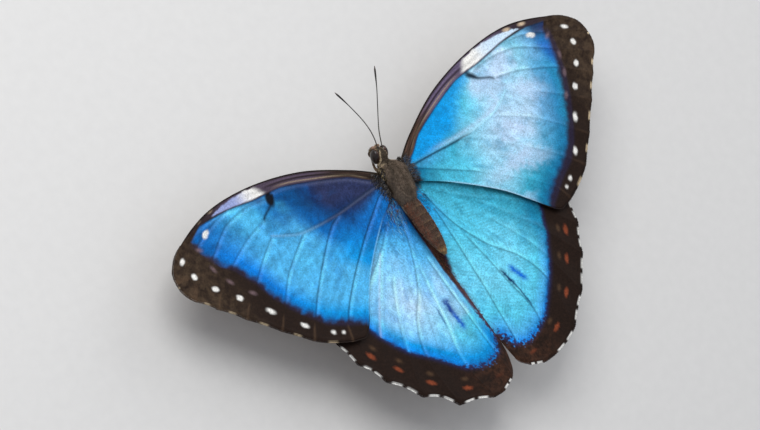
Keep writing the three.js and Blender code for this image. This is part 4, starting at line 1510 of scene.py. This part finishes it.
def build_palp(side_name, side):
    """The hairy feeler beside the tongue, pale on its inner side."""
    dice = np.random.default_rng(205)
    path = mirrored(spline(PALP, 26), side)
    t = np.linspace(0, 1, len(path))
    radii = (0.38 - 0.1 * smooth(0.5, 1, t)) * np.sin(np.pi * np.clip(t + 0.06, 0, 0.97)) ** 0.3
    batch = Batch()
    batch.add_tube(path, radii, mix(PALP_BROWN, FACE_TAN, 0.3), around=14)
    count = PALP_HAIRS
    where = dice.integers(1, len(path) - 2, count)
    angle = dice.uniform(0, 2 * np.pi, count)
    rings = tube(path, radii, around=1)
    ahead = unit(np.gradient(path, axis=0))[where]
    spoke = unit(rings[where, 0] - path[where])
    normals = unit(spoke * np.cos(angle)[:, None] + np.cross(ahead, spoke) * np.sin(angle)[:, None])
    roots = path[where] + normals * radii[where][:, None]
    inner = smooth(0.2, -0.5, normals[:, 0] * side)
    colour = mix(mix(FUR_DARK, FUR, dice.random(count)), FACE_TAN, 0.9 * inner)
    colour = mix(colour, PALP_TIP, 0.8 * smooth(0.55, 0.8, t[where]))
    places = np.stack((angle / (2 * np.pi), where / len(path)), 1)
    batch.add(*strands(roots, normals, ahead, dice.uniform(0.25, 0.45, count),
                       dice.uniform(0.045, 0.075, count), np.radians(dice.uniform(12, 38, count)),
                       np.full(count, 0.1), places, colour * 0.8, colour * 1.25))
    batch.build(f"palp_hair_{side_name}", "palp_hair", HAIR, f"palp_{side_name}")


TONGUE_BROWN = linear(70, 44, 26)
TONGUE = dict(centre=(0, 5.1, -3.45), radius=0.66, turns=3.1, thick=0.11, apart=0.08)


def build_tongue():
    """The tongue: a thin double tube wound into a flat coil under the head."""
    t = np.linspace(0, 1, 150)
    angle = math.radians(100) - 2 * np.pi * TONGUE["turns"] * t
    reach = TONGUE["radius"] * (1 - 0.8 * t)
    coil = np.stack((0 * t, reach * np.cos(angle), reach * np.sin(angle)), 1) + TONGUE["centre"]
    stem = spline([(0, 4.9, -2.2), (0, 5.15, -2.5), tuple(coil[0])], 14)[:-1]
    path = np.vstack((stem, coil))
    radii = np.interp(np.linspace(0, 1, len(path)), (0, 0.1, 0.9, 1), (0.12, TONGUE["thick"], 0.05, 0.03))
    batch = Batch()
    for i, side in enumerate((-1, 1)):
        strip = (0.5 * i, 0.5 * i + 0.48)
        batch.add_tube(path + (side * TONGUE["apart"], 0, 0), radii, TONGUE_BROWN, strip, around=10)
    batch.build("tongue_coil", "cuticle", HORN, "proboscis")


ANTENNAE = {
    "right": [(0.6, 4.7, 0.5), (1.5, 8.8, 1.7), (3.4, 13.3, 3), (5, 17, 4.1), (6.6, 21.4, 5.3)],
    "left": [(0.6, 4.7, 0.5), (0.7, 8.2, 1.7), (1.6, 11.7, 2.7), (3.9, 16.4, 4), (6.5, 20.6, 5.3)],
}
ANTENNA_RINGS = 46
STALK = linear(26, 21, 18)
STALK_RING = linear(150, 138, 118)
CLUB = linear(62, 44, 30)


def build_antenna(side_name, side):
    """A fine ringed stalk that thickens into a slender club."""
    path = mirrored(spline(ANTENNAE[side_name], 12 * ANTENNA_RINGS), side)
    t = np.linspace(0, 1, len(path))
    stalk = 0.13 - 0.02 * smooth(0, 0.5, t) + 0.1 * smooth(0.74, 0.92, t) - 0.13 * smooth(0.95, 1.0, t)
    stalk = stalk + 0.14 * (1 - smooth(0.0, 0.03, t))
    phase = t * ANTENNA_RINGS - np.floor(t * ANTENNA_RINGS)
    ringed = stalk * (1 - 0.13 * bell(phase, 0.16, 0.5) * smooth(0.02, 0.05, t))

    def colour(points):
        """Dark brown with pale rings near the head, and a browner club."""
        along = np.interp(points[:, 1], np.sort(path[:, 1]), t)
        step = along * ANTENNA_RINGS - np.floor(along * ANTENNA_RINGS)
        pale = 0.35 * bell(step, 0.14, 0.5) * (1 - smooth(0.3, 0.6, along))
        return mix(mix(STALK, CLUB, smooth(0.93, 1.0, along)), STALK_RING, pale)

    batch = Batch()
    batch.add_tube(path, ringed, colour, around=10)
    batch.build(f"antenna_{side_name}_rings", "cuticle", HORN, f"antenna_{side_name}")


# ---- Legs -------------------------------------------------------------------------------------

TARSUS_Z = FLOOR_Z + 0.2
WALKING_LEGS = {
    "midleg": dict(hip=[(1.3, -1.6, -2.2), (1.9, -1.4, -4.7)], knee=(7.6, -0.4, -4.6),
                   ankle=(9.4, -0.2, -11.6), toe=(10.6, 4.6, TARSUS_Z)),
    "hindleg": dict(hip=[(1.3, -5.2, -2.2), (1.9, -5.8, -4.6)], knee=(6.6, -11.5, -4.6),
                    ankle=(8.7, -19, -11.6), toe=(9.6, -25.6, TARSUS_Z)),
}
FORELEG = [(0.9, 0.9, -2.6), (0.85, 2, -3.35), (0.75, 3.6, -3.1)]
LEG_DARK = linear(58, 42, 30)
LEG_PALE = linear(138, 112, 82)
CLAW = linear(20, 14, 10)
LEG_HAIRS = 320  # on each of the hip, thigh and shin
FORELEG_HAIRS = 700
FOOT_CUTS = (-0.03, 0.42, 0.6, 0.74, 0.86, 1.0)  # the bounds of the foot's five joints, from heel to toe
SPINES = range(3, 13, 2)  # the steps of the shin that carry a pair of spines


def segment(start, end, steps=14, sag=(0, 0, 0)):
    """A straight stretch of leg, or one bowed by sag at its middle."""
    t = np.linspace(0, 1, steps)[:, None]
    return np.asarray(start) * (1 - t) + np.asarray(end) * t + np.asarray(sag) * 4 * t * (1 - t)


def spindle(steps, first, widest, last):
    """Radii of a leg segment: rounded at both ends."""
    t = np.linspace(0, 1, steps)
    body = np.interp(t, (0, 0.3, 1), (first, widest, last))
    return body * np.clip(np.sqrt(1 - np.abs(2 * t - 1) ** 12), 0.6, 1)


def leg_scales(batch, path, radii, dice, count):
    """Fine hairs along one stretch of leg."""
    where = dice.integers(1, len(path) - 1, count)
    ahead = unit(np.gradient(path, axis=0))[where]
    normals = unit(np.cross(ahead, dice.normal(0, 1, (count, 3))))
    roots = path[where] + normals * radii[where][:, None]
    colour = mix(LEG_DARK, LEG_PALE, dice.random(count) ** 2)
    places = np.stack((dice.random(count), 0.01 + 0.98 * where / len(path)), 1)
    batch.add(*strands(roots, normals, ahead, dice.uniform(0.2, 0.4, count), dice.uniform(0.03, 0.05, count),
                       np.radians(dice.uniform(10, 35, count)), np.zeros(count), places, colour * 0.8,
                       colour * 1.2))


def leg_spines(batch, shin, down, side):
    """Two rows of spines along the shin."""
    for root in shin[list(SPINES)]:
        for lean in (-1, 1):
            tip = root + down * 0.42 + np.array((0.1, 0.34 * lean, 0))
            spine = mirrored(segment(root, tip, 4), side)
            batch.add_tube(spine, (0.05, 0.04, 0.025, 0.006), LEG_DARK, (0.4, 0.41), 5)


def claws(batch, ahead, toe, side):
    """Two hooked claws at the end of the foot."""
    for lean in (-1, 1):
        aside = np.array((lean * ahead[1], -lean * ahead[0], 0)) * 0.12
        bend, point = toe + ahead * 0.22 + aside + (0, 0, 0.06), toe + ahead * 0.36 + aside - (0, 0, 0.12)
        hook = mirrored(spline([toe, bend, point], 7), side)
        batch.add_tube(hook, np.linspace(0.06, 0.012, 7), CLAW, (0.97, 0.99), 6)


def build_walking_leg(kind, side_name, side):
    """Hip, thigh, shin with two rows of spines, a foot of five joints, and two claws."""
    leg = WALKING_LEGS[kind]
    dice = np.random.default_rng(301)
    batch = Batch()
    inner, outer = leg["hip"]
    heel, toe = np.array((*leg["ankle"][:2], TARSUS_Z)), np.array(leg["toe"])
    stretches = [
        (segment(inner, outer), spindle(14, 0.62, 0.55, 0.36)),
        (segment(outer, leg["knee"], sag=(0, 0, 0.25)), spindle(14, 0.3, 0.38, 0.26)),
        (segment(leg["knee"], heel, sag=(0.15, 0, 0)), spindle(14, 0.24, 0.24, 0.2)),
    ]
    for near, far in zip(FOOT_CUTS[:-1], FOOT_CUTS[1:]):
        joint = segment(heel + (toe - heel) * near, heel + (toe - heel) * far, steps=8)
        stretches.append((joint, spindle(8, 0.14, 0.17, 0.17)))
    for i, (path, radii) in enumerate(stretches):
        path = mirrored(path, side)
        strip = (i / len(stretches), (i + 0.95) / len(stretches))
        colour = mix(LEG_DARK, LEG_PALE, 0.25 if i < 2 else 0.1)
        batch.add_tube(path, radii, colour, strip)
        if i < 3:
            leg_scales(batch, path, radii, dice, LEG_HAIRS)
    shin, _ = stretches[2]
    leg_spines(batch, shin, unit(np.asarray(leg["ankle"]) - leg["knee"]), side)
    claws(batch, unit(toe - heel), toe, side)
    batch.build(f"{kind}_{side_name}_scales", "leg_scales", LEG, f"{kind}_{side_name}")


def build_foreleg(side_name, side):
    """The small brush-like front leg, folded up beneath the head."""
    dice = np.random.default_rng(302)
    path = mirrored(spline(FORELEG, 24), side)
    radii = np.linspace(0.34, 0.18, len(path)) * spindle(len(path), 1, 1, 1)
    batch = Batch()
    batch.add_tube(path, radii, mix(LEG_DARK, LEG_PALE, 0.7))
    leg_scales(batch, path, radii, dice, FORELEG_HAIRS)
    batch.build(f"foreleg_{side_name}_brush", "leg_scales", LEG, f"foreleg_{side_name}")


build_coat(build_skin())
build_root_tufts()
build_tongue()
for wing, _, painted in WINGS:
    build_fringe(wing, painted)
for side_name, pose in POSE.items():
    build_shoulder(side_name, pose["side"])
    build_eye(side_name, pose["side"])
    build_palp(side_name, pose["side"])
    build_antenna(side_name, pose["side"])
    build_foreleg(side_name, pose["side"])
    for kind in WALKING_LEGS:
        build_walking_leg(kind, side_name, pose["side"])


# ---- Floor, light and camera ------------------------------------------------------------------

FLOOR_HALF = 3000.0


def build_floor():
    """A wide plain floor under the feet."""
    around = ((-1, -1), (1, -1), (1, 1), (-1, 1))
    floor = new_mesh("floor", [(x * FLOOR_HALF, y * FLOOR_HALF, FLOOR_Z) for x, y in around], [(0, 1, 2, 3)])
    floor.data.materials.append(floor_look("pale_floor"))


# Each lamp: where it stands, its power in watts, and its size. Lengths are in millimetres.
LAMPS = {
    "key": ((-160, 260, 420), 1.7, 320),
    "fill": ((320, 120, 260), 0.35, 300),
}
LAMP_TARGET = (0, -12, 0)


def area_light(name, place, energy, size):
    """A soft square lamp aimed at the butterfly."""
    lamp = bpy.data.lights.new(name, "AREA")
    lamp.energy, lamp.size = energy, size * MM
    holder = bpy.data.objects.new(name, lamp)
    holder.location = ORIGIN + np.array(place) * MM
    target = ORIGIN + np.array(LAMP_TARGET) * MM
    holder.rotation_euler = Vector(np.array(holder.location) - target).to_track_quat("Z", "Y").to_euler()
    bpy.context.scene.collection.objects.link(holder)


# Round to the butterfly's left, up from the floor, and a roll, in degrees.
CAMERA_TURNS = (("Z", -91.7), ("X", 90 - 52.9), ("Z", 61))
CAMERA_DISTANCE = 850.0
CAMERA_SHIFT = (-2.3, -9.8)  # how far the wing roots lie off the picture's centre, in millimetres
VIEW_WIDTH = 166.0  # how wide a strip the picture covers at the butterfly, in millimetres


def build_camera():
    """The photograph's view, from the butterfly's left and above."""
    data = bpy.data.cameras.new("camera")
    camera = bpy.data.objects.new("camera", data)
    data.sensor_width = 36.0
    data.lens = data.sensor_width * CAMERA_DISTANCE / VIEW_WIDTH
    turn = Matrix.Identity(4)
    for axis, degrees in CAMERA_TURNS:
        turn = turn @ Matrix.Rotation(math.radians(degrees), 4, axis)
    place = turn @ Matrix.Translation(Vector((*CAMERA_SHIFT, CAMERA_DISTANCE)) * MM)
    camera.matrix_world = Matrix.Translation(ORIGIN) @ place
    data.clip_start, data.clip_end = 0.01, 20.0
    bpy.context.scene.collection.objects.link(camera)
    bpy.context.scene.camera = camera


WORLD_COLOUR = (0.9, 0.93, 1.0, 1)
WORLD_STRENGTH = 0.5


def build_world():
    """Even light from all round."""
    world = bpy.data.worlds.new("studio")
    world.use_nodes = True
    background = world.node_tree.nodes["Background"]
    background.inputs["Color"].default_value = WORLD_COLOUR
    background.inputs["Strength"].default_value = WORLD_STRENGTH
    bpy.context.scene.world = world


build_floor()
build_camera()
build_world()
for name, lamp in LAMPS.items():
    area_light(name, *lamp)
bpy.context.scene.view_settings.view_transform = "Standard"
